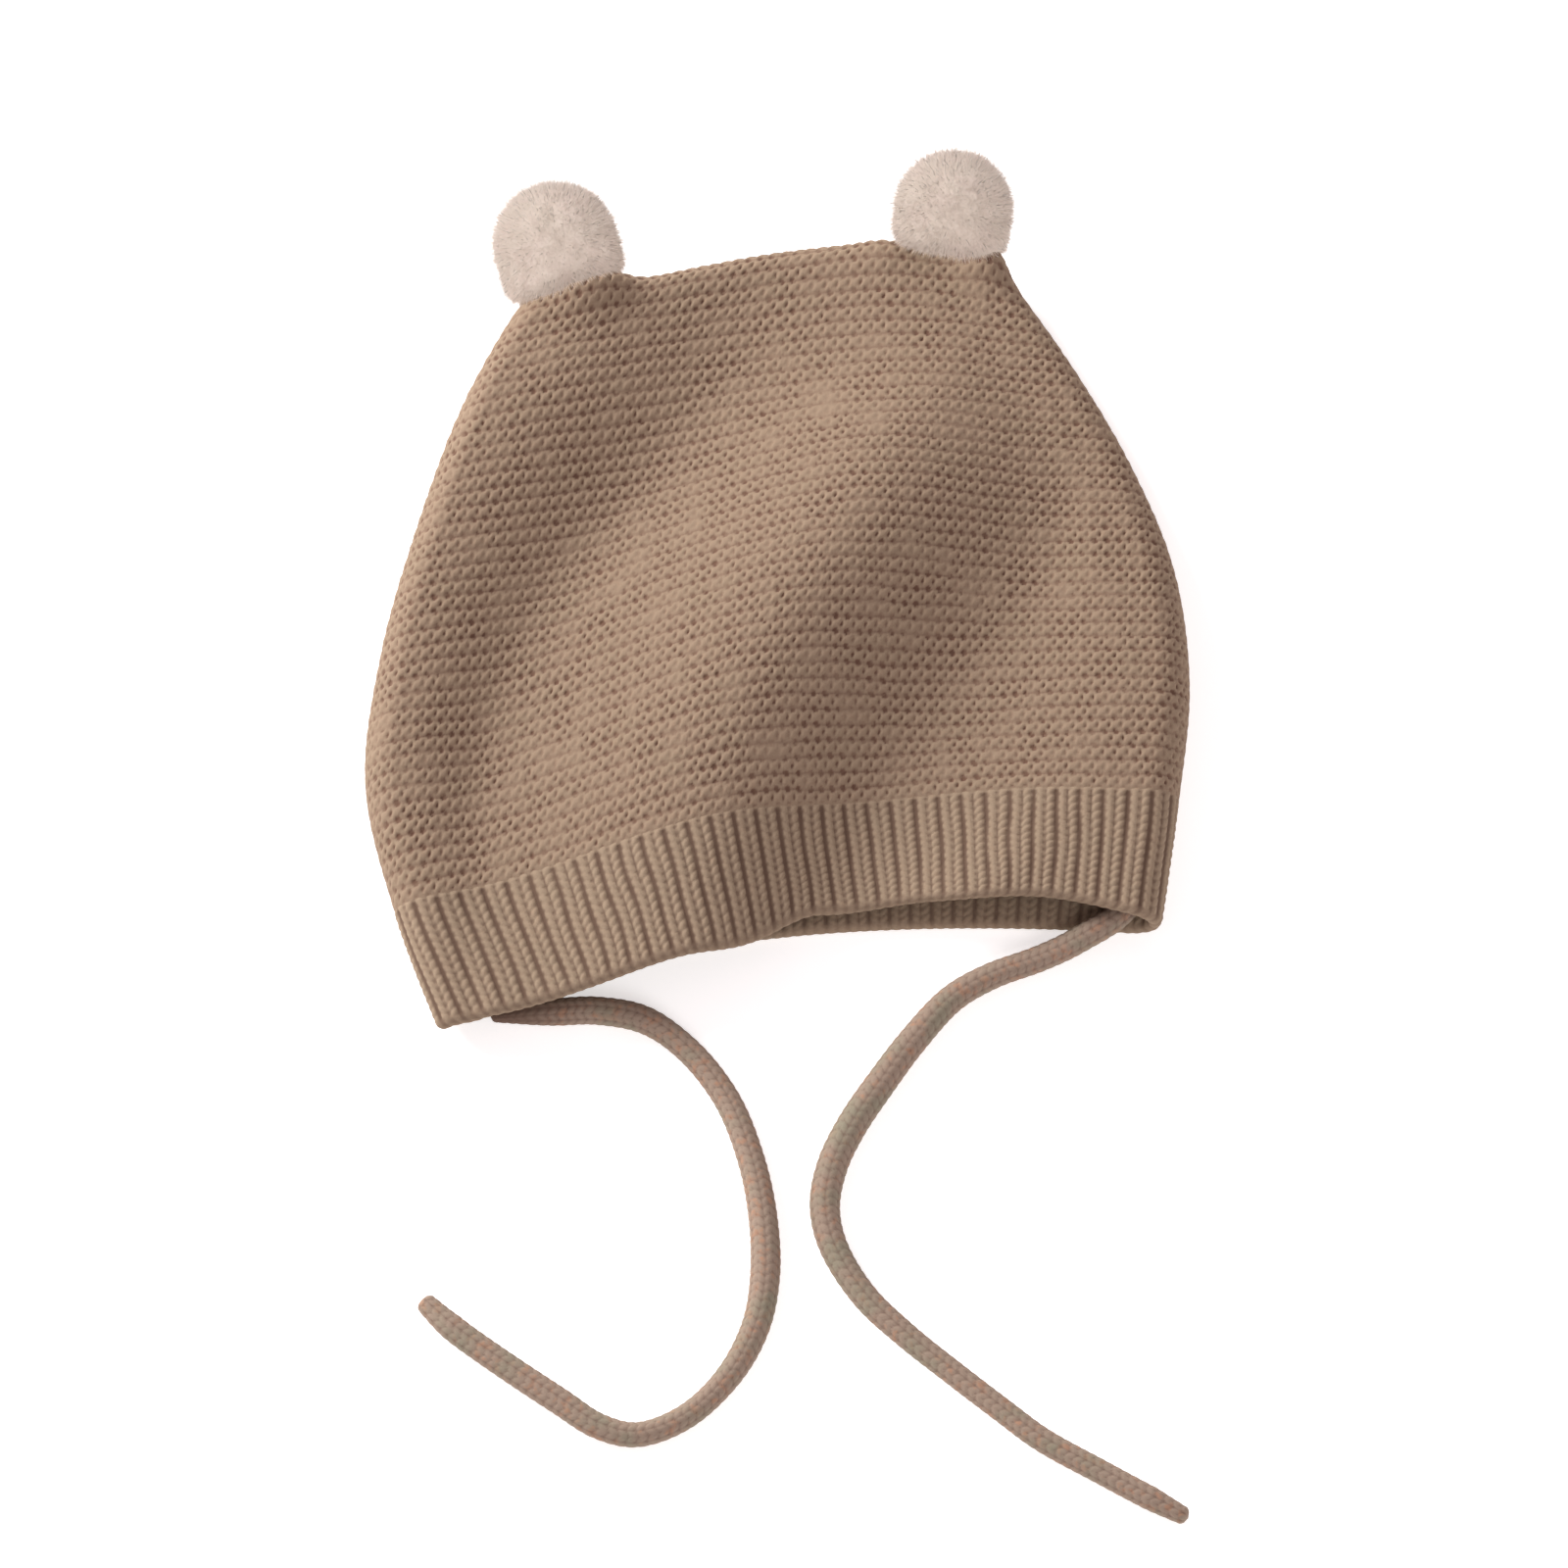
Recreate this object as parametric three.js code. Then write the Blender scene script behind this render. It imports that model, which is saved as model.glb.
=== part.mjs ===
// Knitted baby bonnet with two pompoms and two knitted ties, lying flat on its back layer.
// Millimetres, +Z up. +Y runs from the mouth to the top fold, +X to the right.
// The origin is under the middle of the bonnet, on the surface it lies on.
import * as THREE from 'three';
import { mergeVertices } from 'three/addons/utils/BufferGeometryUtils.js';

// Driving dimensions
const WALL = 2.8; // thickness of one layer of knit
const EDGE_HEIGHT = 7; // height of the side folds' outermost line
const SIDE_ROUNDING = 8; // plan width of the rounded side folds
const TOP_ROUNDING = 7; // plan width of the rounded top fold
const CROWN_LENGTH = 148; // from the band to the top fold, in plan
const BAND_FROM = -0.22; // the hem, in crown lengths below the band's top edge
const SEAM_GAP = 0.0012; // half the gap between crown and band, in crown lengths

const COURSE_WIDTH = 190; // usual width of a course, for spacing its columns
const FACETS = { side: 4, across: 28, up: 19, top: 5, band: 5 };
const MERGE_WITHIN = 0.001; // corners closer than this are one corner

// One row per cross-section, from the hem to the top fold. at: crown lengths above the band's top edge.
// The side folds pass through left and right. The courses arch towards the top by rise, most at the
// share peak of the width; a power above 1 keeps the arch to the middle. Each fold of the front layer
// is at a share of the width, with the height of its outside.
const SECTIONS = [
  {
    at: BAND_FROM, left: [-90.5, -106.0], right: [87.5, -97.8],
    front: { rise: 15.0, peak: 0.66, power: 1.3 }, back: { rise: 13.6, peak: 0.4, power: 1 },
    leftRoll: [0.045, 11], leftHollow: [0.075, 12.8], ridge: [0.345, 18.9],
    rightHollow: [0.565, 8.4], shoulder: [0.78, 14.6],
  },
  {
    at: 0, left: [-98.0, -74.5], right: [95.4, -65.6],
    front: { rise: 9.5, peak: 0.58, power: 1.4 }, back: { rise: 10.0, peak: 0.45, power: 1.2 },
    leftRoll: [0.05, 14.8], leftHollow: [0.115, 13.4], ridge: [0.4, 23.4],
    rightHollow: [0.64, 11.2], shoulder: [0.9, 16.1],
  },
  {
    at: 0.2, left: [-101.8, -41.0], right: [101.2, -36.0],
    front: { rise: 9.0, peak: 0.56, power: 1.5 }, back: { rise: 9.0, peak: 0.52, power: 1.5 },
    leftRoll: [0.05, 17.4], leftHollow: [0.154, 12.4], ridge: [0.47, 27.4],
    rightHollow: [0.74, 12.8], shoulder: [0.94, 17.2],
  },
  {
    at: 0.4, left: [-94.8, -8.5], right: [100.6, -6.0],
    front: { rise: 8.5, peak: 0.54, power: 1.5 }, back: { rise: 8.5, peak: 0.54, power: 1.5 },
    leftRoll: [0.05, 18.6], leftHollow: [0.204, 12.6], ridge: [0.556, 28],
    rightHollow: [0.838, 13.8], shoulder: [0.913, 15.9],
  },
  {
    at: 0.6, left: [-83.1, 22.5], right: [92.7, 23.0],
    front: { rise: 8.0, peak: 0.54, power: 1.5 }, back: { rise: 8.0, peak: 0.54, power: 1.5 },
    leftRoll: [0.054, 19.8], leftHollow: [0.322, 11.5], ridge: [0.67, 23.4],
    rightHollow: [0.91, 15], shoulder: [0.944, 14.7],
  },
  {
    at: 0.8, left: [-68.9, 52.9], right: [80.7, 51.0],
    front: { rise: 8.0, peak: 0.56, power: 1.4 }, back: { rise: 8.0, peak: 0.56, power: 1.4 },
    leftRoll: [0.089, 19.6], leftHollow: [0.465, 11.3], ridge: [0.793, 15.5],
    rightHollow: [0.906, 14.4], shoulder: [0.952, 13.9],
  },
  {
    at: 1, left: [-52.0, 79.5], right: [66.6, 77.5],
    front: { rise: 8.4, peak: 0.64, power: 1 }, back: { rise: 8.4, peak: 0.64, power: 1 },
    leftRoll: [0.141, 15.6], leftHollow: [0.559, 11.4], ridge: [0.819, 12.5],
    rightHollow: [0.9, 12.5], shoulder: [0.95, 12.5],
  },
];
const FOLDS = ['leftRoll', 'leftHollow', 'ridge', 'rightHollow', 'shoulder'];

// Each pompom is a ball pressed against the top fold: round above, square-shouldered towards the fold,
// which it meets at reach from its middle.
const PRESSED_POWER = 3.5; // 2 would be an ellipsoid
const BALL_DETAIL = 5; // how finely a pompom's ball is divided
const POMPOMS = [
  { name: 'left_pompom', radius: 15.2, at: [-40.5, 90.8], towards: [0.19, -0.93, -0.3], reach: 11.45 },
  { name: 'right_pompom', radius: 14.5, at: [57.0, 90.0], towards: [-0.23, -0.84, -0.48], reach: 10 },
];

// Each tie's middle line, from inside the mouth to its free end: x, y and the height above LYING.
const TIE = { radius: 3.5, sides: 10, steps: 36, tip: 2.1, taper: 9 };
const TIE_CLEARANCE = 0.05; // under a tie where it lies on the surface
const LYING = TIE.radius + TIE_CLEARANCE; // height of its middle line there
const TIES = [
  {
    name: 'left_tie',
    route: [
      [-77.5, -101.9, 0], [-70.5, -102.3, 0], [-61.4, -103.0, 0], [-51.4, -103.8, 0], [-40.0, -107.5, 0],
      [-30.7, -115.9, 0], [-22.5, -129.6, 0], [-18.2, -145.5, 0], [-16.8, -161.2, 0], [-17.9, -176.6, 0],
      [-21.5, -189.1, 0], [-29.1, -200.8, 0], [-41.1, -210.5, 0], [-53.3, -213.8, 0], [-62.2, -210.7, 0],
      [-71.1, -203.3, 0], [-86.3, -190.0, 0], [-95.4, -181.3, 0], [-101.7, -173.4, 0],
    ],
  },
  {
    name: 'right_tie',
    route: [
      [79.5, -92.3, 3.2], [75.0, -95.2, 3.2], [70.0, -97.5, 2.9], [64.0, -99.8, 1.6], [56.9, -101.8, 0.3],
      [45.1, -104.9, 0], [35.1, -109.7, 0], [24.4, -119.6, 0], [16.2, -128.9, 0], [7.0, -140.4, 0],
      [1.3, -150.2, 0], [-1.5, -160.3, 0], [-0.5, -170.5, 0], [5.6, -183.9, 0], [14.3, -194.7, 0],
      [25.2, -206.0, 0], [36.3, -217.1, 0], [44.8, -225.3, 0], [58.2, -235.1, 0], [69.3, -243.0, 0],
      [78.9, -249.4, 0],
    ],
  },
];

const KNIT = { color: 0x9d8169, roughness: 0.95, metalness: 0 };
const PLUSH = { color: 0xd9c8bb, roughness: 1, metalness: 0 };
const CORD = { color: 0x9c8676, roughness: 0.95, metalness: 0 };

// Cubic through the values of four neighbouring sections, with sections at uneven places.
function throughSections(before, from, to, after, at, read) {
  const span = to.at - from.at;
  const u = (at - from.at) / span;
  const slopeFrom = ((read(to) - read(before)) / (to.at - before.at)) * span;
  const slopeTo = ((read(after) - read(from)) / (after.at - from.at)) * span;
  return (
    (2 * u ** 3 - 3 * u ** 2 + 1) * read(from) + (u ** 3 - 2 * u ** 2 + u) * slopeFrom
    + (3 * u ** 2 - 2 * u ** 3) * read(to) + (u ** 3 - u ** 2) * slopeTo
  );
}

// The cross-section at any place between the hem and the top fold.
function sectionAt(at) {
  const last = SECTIONS.length - 1;
  const found = SECTIONS.findIndex((section) => section.at > at);
  const next = found < 0 ? last : Math.max(found, 1);
  const [before, from, to, after] = [next - 2, next - 1, next, next + 1].map(
    (index) => SECTIONS[Math.min(Math.max(index, 0), last)],
  );
  const value = (read) => throughSections(before, from, to, after, at, read);
  const pair = (name) => [0, 1].map((axis) => value((section) => section[name][axis]));
  const arch = (name) => ({
    rise: value((section) => section[name].rise),
    peak: value((section) => section[name].peak),
    power: value((section) => section[name].power),
  });
  return {
    left: pair('left'),
    right: pair('right'),
    front: arch('front'),
    back: arch('back'),
    folds: FOLDS.map(pair),
  };
}

// A point of a course in plan, at a share of the width from left to right.
function planPoint(section, layer, share) {
  const { rise, peak, power } = section[layer];
  const skewed = share ** (Math.log(0.5) / Math.log(peak));
  const arch = rise * Math.max(4 * skewed * (1 - skewed), 0) ** power;
  const { left, right } = section;
  return [left[0] + (right[0] - left[0]) * share, left[1] + (right[1] - left[1]) * share + arch];
}

// Height of the front layer's outside: it swells and dips smoothly from fold to fold.
function frontHeight(section, share) {
  const { folds } = section;
  const next = folds.findIndex(([place]) => place > share);
  if (next === 0) return folds[0][1];
  if (next < 0) return folds[folds.length - 1][1];
  const [from, to] = [folds[next - 1], folds[next]];
  return THREE.MathUtils.lerp(from[1], to[1], THREE.MathUtils.smoothstep(share, from[0], to[0]));
}

// Quarter-circle rise of a folded edge: 0 on the edge, 1 from the rounding's width on.
function rounded(distance, width) {
  const short = 1 - Math.min(Math.max(distance / width, 0), 1);
  return Math.sqrt(1 - short * short);
}

// A point of one face of the knit. inset is 0 outside and WALL inside.
function knitPoint(layer, share, at, inset) {
  const place = at > 0 ? at * (1 - inset / CROWN_LENGTH) : at;
  const section = sectionAt(place);
  const width = section.right[0] - section.left[0];
  const insetShare = inset / width;
  const along = insetShare + share * (1 - 2 * insetShare);
  const [x, y] = planPoint(section, layer, along);
  const fromSide = Math.min(share, 1 - share) * (width - 2 * inset);
  const fromTop = (1 - at) * (CROWN_LENGTH - inset);
  const rise = rounded(fromSide, SIDE_ROUNDING - inset) * rounded(fromTop, TOP_ROUNDING - inset);
  const outermost = layer === 'front' ? frontHeight(section, along) - inset : inset;
  return new THREE.Vector3(x, y, EDGE_HEIGHT + (outermost - EDGE_HEIGHT) * rise);
}

// Shares of the width, close together round the side folds.
function columnShares() {
  const side = SIDE_ROUNDING / COURSE_WIDTH;
  const shares = [];
  for (let i = 0; i < FACETS.side; i += 1) {
    shares.push(side * (1 - Math.cos((i / FACETS.side) * (Math.PI / 2))));
  }
  for (let i = 0; i <= FACETS.across; i += 1) {
    shares.push(side + (1 - 2 * side) * (i / FACETS.across));
  }
  for (let i = FACETS.side - 1; i >= 0; i -= 1) shares.push(1 - shares[i]);
  return shares;
}

// Places of the crown's rings, close together round the top fold.
function crownPlaces() {
  const top = 1 - TOP_ROUNDING / CROWN_LENGTH;
  const places = [];
  for (let i = 0; i < FACETS.up; i += 1) places.push(SEAM_GAP + (top - SEAM_GAP) * (i / FACETS.up));
  for (let i = 0; i <= FACETS.top; i += 1) {
    places.push(top + (1 - top) * Math.sin((i / FACETS.top) * (Math.PI / 2)));
  }
  return places;
}

function bandPlaces() {
  return Array.from({ length: FACETS.band + 1 }, (_, i) => (
    BAND_FROM + (-SEAM_GAP - BAND_FROM) * (i / FACETS.band)
  ));
}

// One closed ring of points: the front layer from left to right, then the back layer to the left.
function ringPoints(at, inset) {
  const shares = columnShares();
  const front = shares.slice(0, -1).map((share) => knitPoint('front', share, at, inset));
  const back = shares.slice(0, -1).map((share) => knitPoint('back', 1 - share, at, inset));
  return [...front, ...back];
}

// Two triangles for corners a, b, c, d, facing the other way where turned. The diagonal is always a to c,
// so that two faces across a seam are split alike.
function pushQuad(index, [a, b, c, d], turned) {
  if (turned) index.push(a, c, b, a, d, c);
  else index.push(a, b, c, a, c, d);
}

// A hollow knitted wall through the rings at places: outside, inside, and an edge round each open end.
function knittedWall(places, openEnds) {
  const around = 2 * (columnShares().length - 1);
  const faces = [0, WALL].map((inset) => places.map((at) => ringPoints(at, inset)));
  const positions = faces.flat(2).flatMap((point) => point.toArray());
  const index = [];
  const vertex = (face, ring, column) => (face * places.length + ring) * around + (column % around);
  for (let column = 0; column < around; column += 1) {
    const next = column + 1;
    for (const face of [0, 1]) {
      for (let ring = 0; ring < places.length - 1; ring += 1) {
        const corners = [
          vertex(face, ring, column), vertex(face, ring, next),
          vertex(face, ring + 1, next), vertex(face, ring + 1, column),
        ];
        pushQuad(index, corners, face === 1);
      }
    }
    for (const ring of openEnds) {
      const corners = [
        vertex(0, ring, column), vertex(1, ring, column), vertex(1, ring, next), vertex(0, ring, next),
      ];
      pushQuad(index, corners, ring > 0);
    }
  }
  const geometry = new THREE.BufferGeometry();
  geometry.setAttribute('position', new THREE.Float32BufferAttribute(positions, 3));
  geometry.setIndex(index);
  return withNormals(geometry);
}

function withNormals(geometry) {
  geometry.deleteAttribute('uv');
  geometry.deleteAttribute('normal');
  const merged = mergeVertices(geometry, MERGE_WITHIN);
  merged.computeVertexNormals();
  return merged;
}

function pompomBall({ radius, towards, reach }) {
  const geometry = withNormals(new THREE.IcosahedronGeometry(1, BALL_DETAIL));
  const axis = new THREE.Vector3(...towards).normalize();
  const corners = geometry.getAttribute('position');
  const corner = new THREE.Vector3();
  for (let i = 0; i < corners.count; i += 1) {
    corner.fromBufferAttribute(corners, i).normalize();
    const along = Math.max(corner.dot(axis), 0);
    const across = Math.sqrt(1 - along * along);
    const pressed = (along / reach) ** PRESSED_POWER + (across / radius) ** PRESSED_POWER;
    corner.multiplyScalar(along > 0 ? pressed ** (-1 / PRESSED_POWER) : radius);
    corners.setXYZ(i, corner.x, corner.y, corner.z);
  }
  geometry.computeVertexNormals();
  return geometry;
}

// A round tie along its middle line, thinner towards both ends and still resting on what it lies on.
function tieTube(route) {
  const section = Array.from({ length: TIE.sides }, (_, i) => {
    const angle = (i / TIE.sides) * 2 * Math.PI;
    return new THREE.Vector2(Math.cos(angle), Math.sin(angle)).multiplyScalar(TIE.radius);
  });
  const points = route.map(([x, y, raised]) => new THREE.Vector3(x, y, LYING + raised));
  const middle = new THREE.CatmullRomCurve3(points);
  const tube = withNormals(new THREE.ExtrudeGeometry(new THREE.Shape(section), {
    steps: TIE.steps, curveSegments: 1, bevelEnabled: false, extrudePath: middle,
  }));
  const stations = middle.getSpacedPoints(TIE.steps);
  const stepLength = middle.getLength() / TIE.steps;
  const corners = tube.getAttribute('position');
  const corner = new THREE.Vector3();
  for (let i = 0; i < corners.count; i += 1) {
    corner.fromBufferAttribute(corners, i);
    const distances = stations.map((station) => station.distanceTo(corner));
    const nearest = distances.indexOf(Math.min(...distances));
    const fromEnd = Math.min(nearest, TIE.steps - nearest) * stepLength;
    const thinned = (TIE.radius - TIE.tip) * (1 - rounded(fromEnd, TIE.taper));
    corner.lerp(stations[nearest], thinned / TIE.radius);
    corners.setXYZ(i, corner.x, corner.y, corner.z - thinned);
  }
  tube.computeVertexNormals();
  return tube;
}

function piece(name, geometry, finish) {
  const mesh = new THREE.Mesh(geometry, new THREE.MeshStandardMaterial(finish));
  mesh.name = name;
  return mesh;
}

const bonnet = new THREE.Group();
bonnet.name = 'knitted_bonnet';
bonnet.add(piece('crown', knittedWall(crownPlaces(), [0]), KNIT));
bonnet.add(piece('ribbed_band', knittedWall(bandPlaces(), [0, FACETS.band]), KNIT));
for (const pompom of POMPOMS) {
  const ball = piece(pompom.name, pompomBall(pompom), PLUSH);
  ball.geometry.computeBoundingBox();
  ball.position.set(pompom.at[0], pompom.at[1], -ball.geometry.boundingBox.min.z);
  bonnet.add(ball);
}
for (const { name, route } of TIES) bonnet.add(piece(name, tieTube(route), CORD));

export default bonnet;
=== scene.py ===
"""Knitted baby bonnet lying flat: garter-stitch crown, ribbed band, plush pompoms and knitted ties.

Shapes are worked out in millimetres in the bonnet's own frame, +Z up, +Y from the mouth to the top
fold and +X to the right, and become metres when a mesh is made.
"""

from __future__ import annotations

import logging
import math
from collections.abc import Sequence
from dataclasses import dataclass, field
from enum import Enum
from typing import Any, ClassVar

import bmesh
import bpy
import numpy as np
from mathutils import Matrix, Vector

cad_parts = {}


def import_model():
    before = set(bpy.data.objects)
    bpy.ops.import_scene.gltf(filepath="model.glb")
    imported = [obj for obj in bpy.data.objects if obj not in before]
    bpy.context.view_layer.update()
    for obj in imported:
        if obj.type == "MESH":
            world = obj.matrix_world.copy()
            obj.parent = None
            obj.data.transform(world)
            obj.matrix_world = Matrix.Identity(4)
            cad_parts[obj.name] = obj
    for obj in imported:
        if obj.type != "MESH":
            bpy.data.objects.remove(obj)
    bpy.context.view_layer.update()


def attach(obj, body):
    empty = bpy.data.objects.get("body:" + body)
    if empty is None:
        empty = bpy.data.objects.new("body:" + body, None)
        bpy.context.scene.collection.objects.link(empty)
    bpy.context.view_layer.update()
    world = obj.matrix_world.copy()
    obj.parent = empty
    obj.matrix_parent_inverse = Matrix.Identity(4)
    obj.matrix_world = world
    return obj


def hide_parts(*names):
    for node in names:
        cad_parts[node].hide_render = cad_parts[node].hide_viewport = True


Array = np.ndarray
Point = tuple[float, float, float]
Rectangle = tuple[float, float, float, float]

LOG = logging.getLogger("bonnet")
MM = 0.001
FULL_TURN = 2 * math.pi
BODY = "root"
TINY = 1e-9
FLOOR_GAP = 0.02  # the lowest that a vertex lies above the floor, in millimetres


# ---------------------------------------------------------------- meshes


def turned(vectors: Array) -> Array:
    """Vectors along the last axis, scaled to length 1."""
    length = np.linalg.norm(vectors, axis=-1, keepdims=True)
    return vectors / np.maximum(length, TINY)


def patch_places(shape: tuple[int, ...], corner: Rectangle) -> Array:
    """Evenly spread places on the baking map.

    Args:
        shape: rows and columns.
        corner: left, bottom, right and top of the patch on the map.

    Returns:
        Coordinates, rows by columns by 2.
    """
    left, bottom, right, top = corner
    u, v = np.meshgrid(np.linspace(left, right, shape[1]), np.linspace(bottom, top, shape[0]))
    return np.stack([u, v], -1)


def vertex_normals(points: Array, corners: Array, groups: Array) -> Array:
    """Area-weighted normals of each vertex in each smooth group.

    Args:
        points: all vertices.
        corners: vertex numbers of every face.
        groups: the smooth group of every face.

    Returns:
        One unit normal for each vertex of group 0, then for each of group 1, and so on.
    """
    a, b, c = (points[corners[:, k]] for k in range(3))
    faces = np.cross(b - a, c - a)
    slots = corners + groups[:, None] * len(points)
    sums = np.zeros((len(points) * (int(groups.max()) + 1), 3))
    for axis in range(3):
        for k in range(3):
            sums[:, axis] += np.bincount(slots[:, k], faces[:, axis], len(sums))
    return turned(sums)


def lone_faces(corners: Array, parts: Array) -> Array:
    """Marks the faces that don't lie back to back with another one in a closed fold.

    Args:
        corners: vertex numbers of every face.
        parts: which object each face goes to.

    Returns:
        True for each face whose three vertices no other face of its object has.
    """
    low, middle, high = np.sort(corners, axis=1).T
    span = int(high.max()) + 1
    place = ((parts * span + low) * span + middle) * span + high
    _, which, count = np.unique(place, return_inverse=True, return_counts=True)
    return count[which] == 1


@dataclass
class Mesher:
    """Collects points and patches, and turns them into mesh objects.

    A vertex keeps one number however many patches use it, so that patches meet without a gap. The
    faces of one smooth group are shaded as one surface, even where they go to different objects.

    Attributes:
        points: vertices in millimetres.
        proud: how proud of the knit each of them is; the materials paint shade where it is low.
        corners: vertex numbers of the faces.
        places: the faces' corners on the baking map.
        groups: the faces' smooth groups.
        parts: which object each face goes to.
        count: how many vertices there are.
    """

    points: list[Array] = field(default_factory=list)
    proud: list[Array] = field(default_factory=list)
    corners: list[Array] = field(default_factory=list)
    places: list[Array] = field(default_factory=list)
    groups: list[Array] = field(default_factory=list)
    parts: list[Array] = field(default_factory=list)
    count: int = 0

    def add_points(self, points: Array, proud: Array | float) -> Array:
        """Adds points in millimetres.

        Args:
            points: coordinates along the last axis.
            proud: from 0 in a gap of the knit to 1 on top of the yarn; low values get painted
                shade.

        Returns:
            The new vertices' numbers, shaped like the points.
        """
        shape = points.shape[:-1]
        total = math.prod(shape)
        self.points.append(points.reshape(-1, 3).astype(float))
        self.proud.append(np.broadcast_to(proud, shape).reshape(-1).astype(float))
        numbers = np.arange(self.count, self.count + total).reshape(shape)
        self.count += total
        return numbers

    def add_faces(self, corners: Array, places: Array, group: int, part: int) -> None:
        """Adds triangles.

        Args:
            corners: vertex numbers, faces by 3.
            places: baking map coordinates, faces by 3 by 2.
            group: the smooth group.
            part: which object the faces go to.
        """
        a, b, c = corners.T
        kept = (a != b) & (b != c) & (c != a)
        self.corners.append(corners[kept])
        self.places.append(places[kept])
        self.groups.append(np.full(kept.sum(), group))
        self.parts.append(np.full(kept.sum(), part))

    def add_patch(
        self, numbers: Array, corner: Rectangle, over: bool = False, group: int = 0, part: int = 0
    ) -> None:
        """Adds a rectangular patch of faces.

        Args:
            numbers: vertex numbers, rows by columns; repeated numbers close the patch up there.
            corner: the patch's rectangle on the baking map.
            over: True to face the other way.
            group: the smooth group.
            part: which object the faces go to.
        """
        rows, columns = numbers.shape
        crossing = np.arange(rows * columns).reshape(rows, columns)
        a, b = crossing[:-1, :-1], crossing[:-1, 1:]
        d, c = crossing[1:, :-1], crossing[1:, 1:]
        halves = [np.stack(half, -1).reshape(-1, 3) for half in ((a, b, c), (a, c, d))]
        found = np.concatenate(halves)
        if over:
            found = found[:, ::-1]
        places = patch_places(numbers.shape, corner).reshape(-1, 2)
        self.add_faces(numbers.reshape(-1)[found], places[found], group, part)

    def move(self, numbers: Array, offsets: Array) -> None:
        """Moves vertices along the normals of the faces added so far.

        Args:
            numbers: vertex numbers.
            offsets: distances in millimetres, shaped like the numbers.
        """
        points = np.concatenate(self.points)
        corners = np.concatenate(self.corners)
        normals = vertex_normals(points, corners, np.zeros(len(corners), int))
        found = numbers.reshape(-1)
        points[found] += normals[found] * offsets.reshape(-1, 1)
        self.points = [points]

    def finish(
        self, names: tuple[str, ...], own_normals: bool = False, facing: Array | None = None
    ) -> list[bpy.types.Object]:
        """Makes the mesh objects.

        Args:
            names: one piece's name for each part number.
            own_normals: True to shade each smooth group by itself.
            facing: the direction that each vertex is shaded as facing, or None.

        Returns:
            The new objects, linked to the scene and riding on the bonnet.
        """
        points = np.concatenate(self.points)
        points[:, 2] = np.maximum(points[:, 2], FLOOR_GAP)
        corners, places = np.concatenate(self.corners), np.concatenate(self.places)
        groups, parts = np.concatenate(self.groups), np.concatenate(self.parts)
        normals = vertex_normals(points, corners, groups) if own_normals else facing
        lone = lone_faces(corners, parts)
        pieces = []
        for part, name in enumerate(names):
            chosen = lone & (parts == part)
            mesh = self.mesh(name, points, corners[chosen], places[chosen])
            if normals is not None:
                slots = corners[chosen] + groups[chosen][:, None] * len(points)
                mesh.normals_split_custom_set(normals[slots.reshape(-1)].astype(np.float32))
            piece = bpy.data.objects.new(name, mesh)
            bpy.context.scene.collection.objects.link(piece)
            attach(piece, BODY)
            pieces.append(piece)
        return pieces

    def mesh(self, name: str, points: Array, corners: Array, places: Array) -> bpy.types.Mesh:
        """Makes one mesh of the vertices that its faces use.

        Args:
            name: the mesh's name.
            points: all vertices in millimetres.
            corners: vertex numbers of the mesh's faces.
            places: the faces' corners on the baking map.

        Returns:
            The mesh, smooth all over.
        """
        used, faces = np.unique(corners, return_inverse=True)
        total = faces.size // 3
        mesh = bpy.data.meshes.new(name)
        mesh.vertices.add(len(used))
        mesh.vertices.foreach_set("co", (points[used] * MM).astype(np.float32).reshape(-1))
        mesh.loops.add(faces.size)
        mesh.loops.foreach_set("vertex_index", faces.astype(np.int32).reshape(-1))
        mesh.polygons.add(total)
        mesh.polygons.foreach_set("loop_start", np.arange(0, faces.size, 3, dtype=np.int32))
        mesh.polygons.foreach_set("use_smooth", np.ones(total, bool))
        baked = mesh.uv_layers.new(name="OFBake")
        baked.data.foreach_set("uv", places.astype(np.float32).reshape(-1))
        # The proud attribute is the mask of the painted shade: the materials colour low values
        # darker.
        value = mesh.attributes.new("proud", "FLOAT", "POINT")
        value.data.foreach_set("value", np.concatenate(self.proud)[used].astype(np.float32))
        mesh.update(calc_edges=True)
        return mesh


# ---------------------------------------------------------------- shader maths


class Signal:
    """A number that varies over a surface; arithmetic on it adds Math nodes."""

    def __init__(self, recipe: Recipe, socket: bpy.types.NodeSocket) -> None:
        """Wraps a socket of a recipe."""
        self.recipe = recipe
        self.socket = socket

    def maths(self, operation: str, *values: Signal | float) -> Signal:
        """Adds a Math node.

        Args:
            operation: the node's operation.
            values: its inputs.

        Returns:
            Its result.
        """
        sockets = {k: value for k, value in enumerate(values)}
        return self.recipe.signal("ShaderNodeMath", {"operation": operation}, sockets)

    def __add__(self, other: Signal | float) -> Signal:
        """Sum."""
        return self.maths("ADD", self, other)

    def __mul__(self, other: Signal | float) -> Signal:
        """Product."""
        return self.maths("MULTIPLY", self, other)

    __radd__ = __add__
    __rmul__ = __mul__

    def step(self, low: float, high: float) -> Signal:
        """Smooth step: 0 at low, 1 at high.

        Args:
            low: where the step starts.
            high: where it ends.

        Returns:
            The stepped number.
        """
        settings = {"interpolation_type": "SMOOTHSTEP"}
        return self.recipe.signal("ShaderNodeMapRange", settings, {0: self, 1: low, 2: high})

    def about_one(self, amount: float) -> Signal:
        """A factor that goes up and down about 1 as this noise does about 0.5."""
        return (1 - amount / 2) + amount * self


Colour = tuple[float, float, float]


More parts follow.
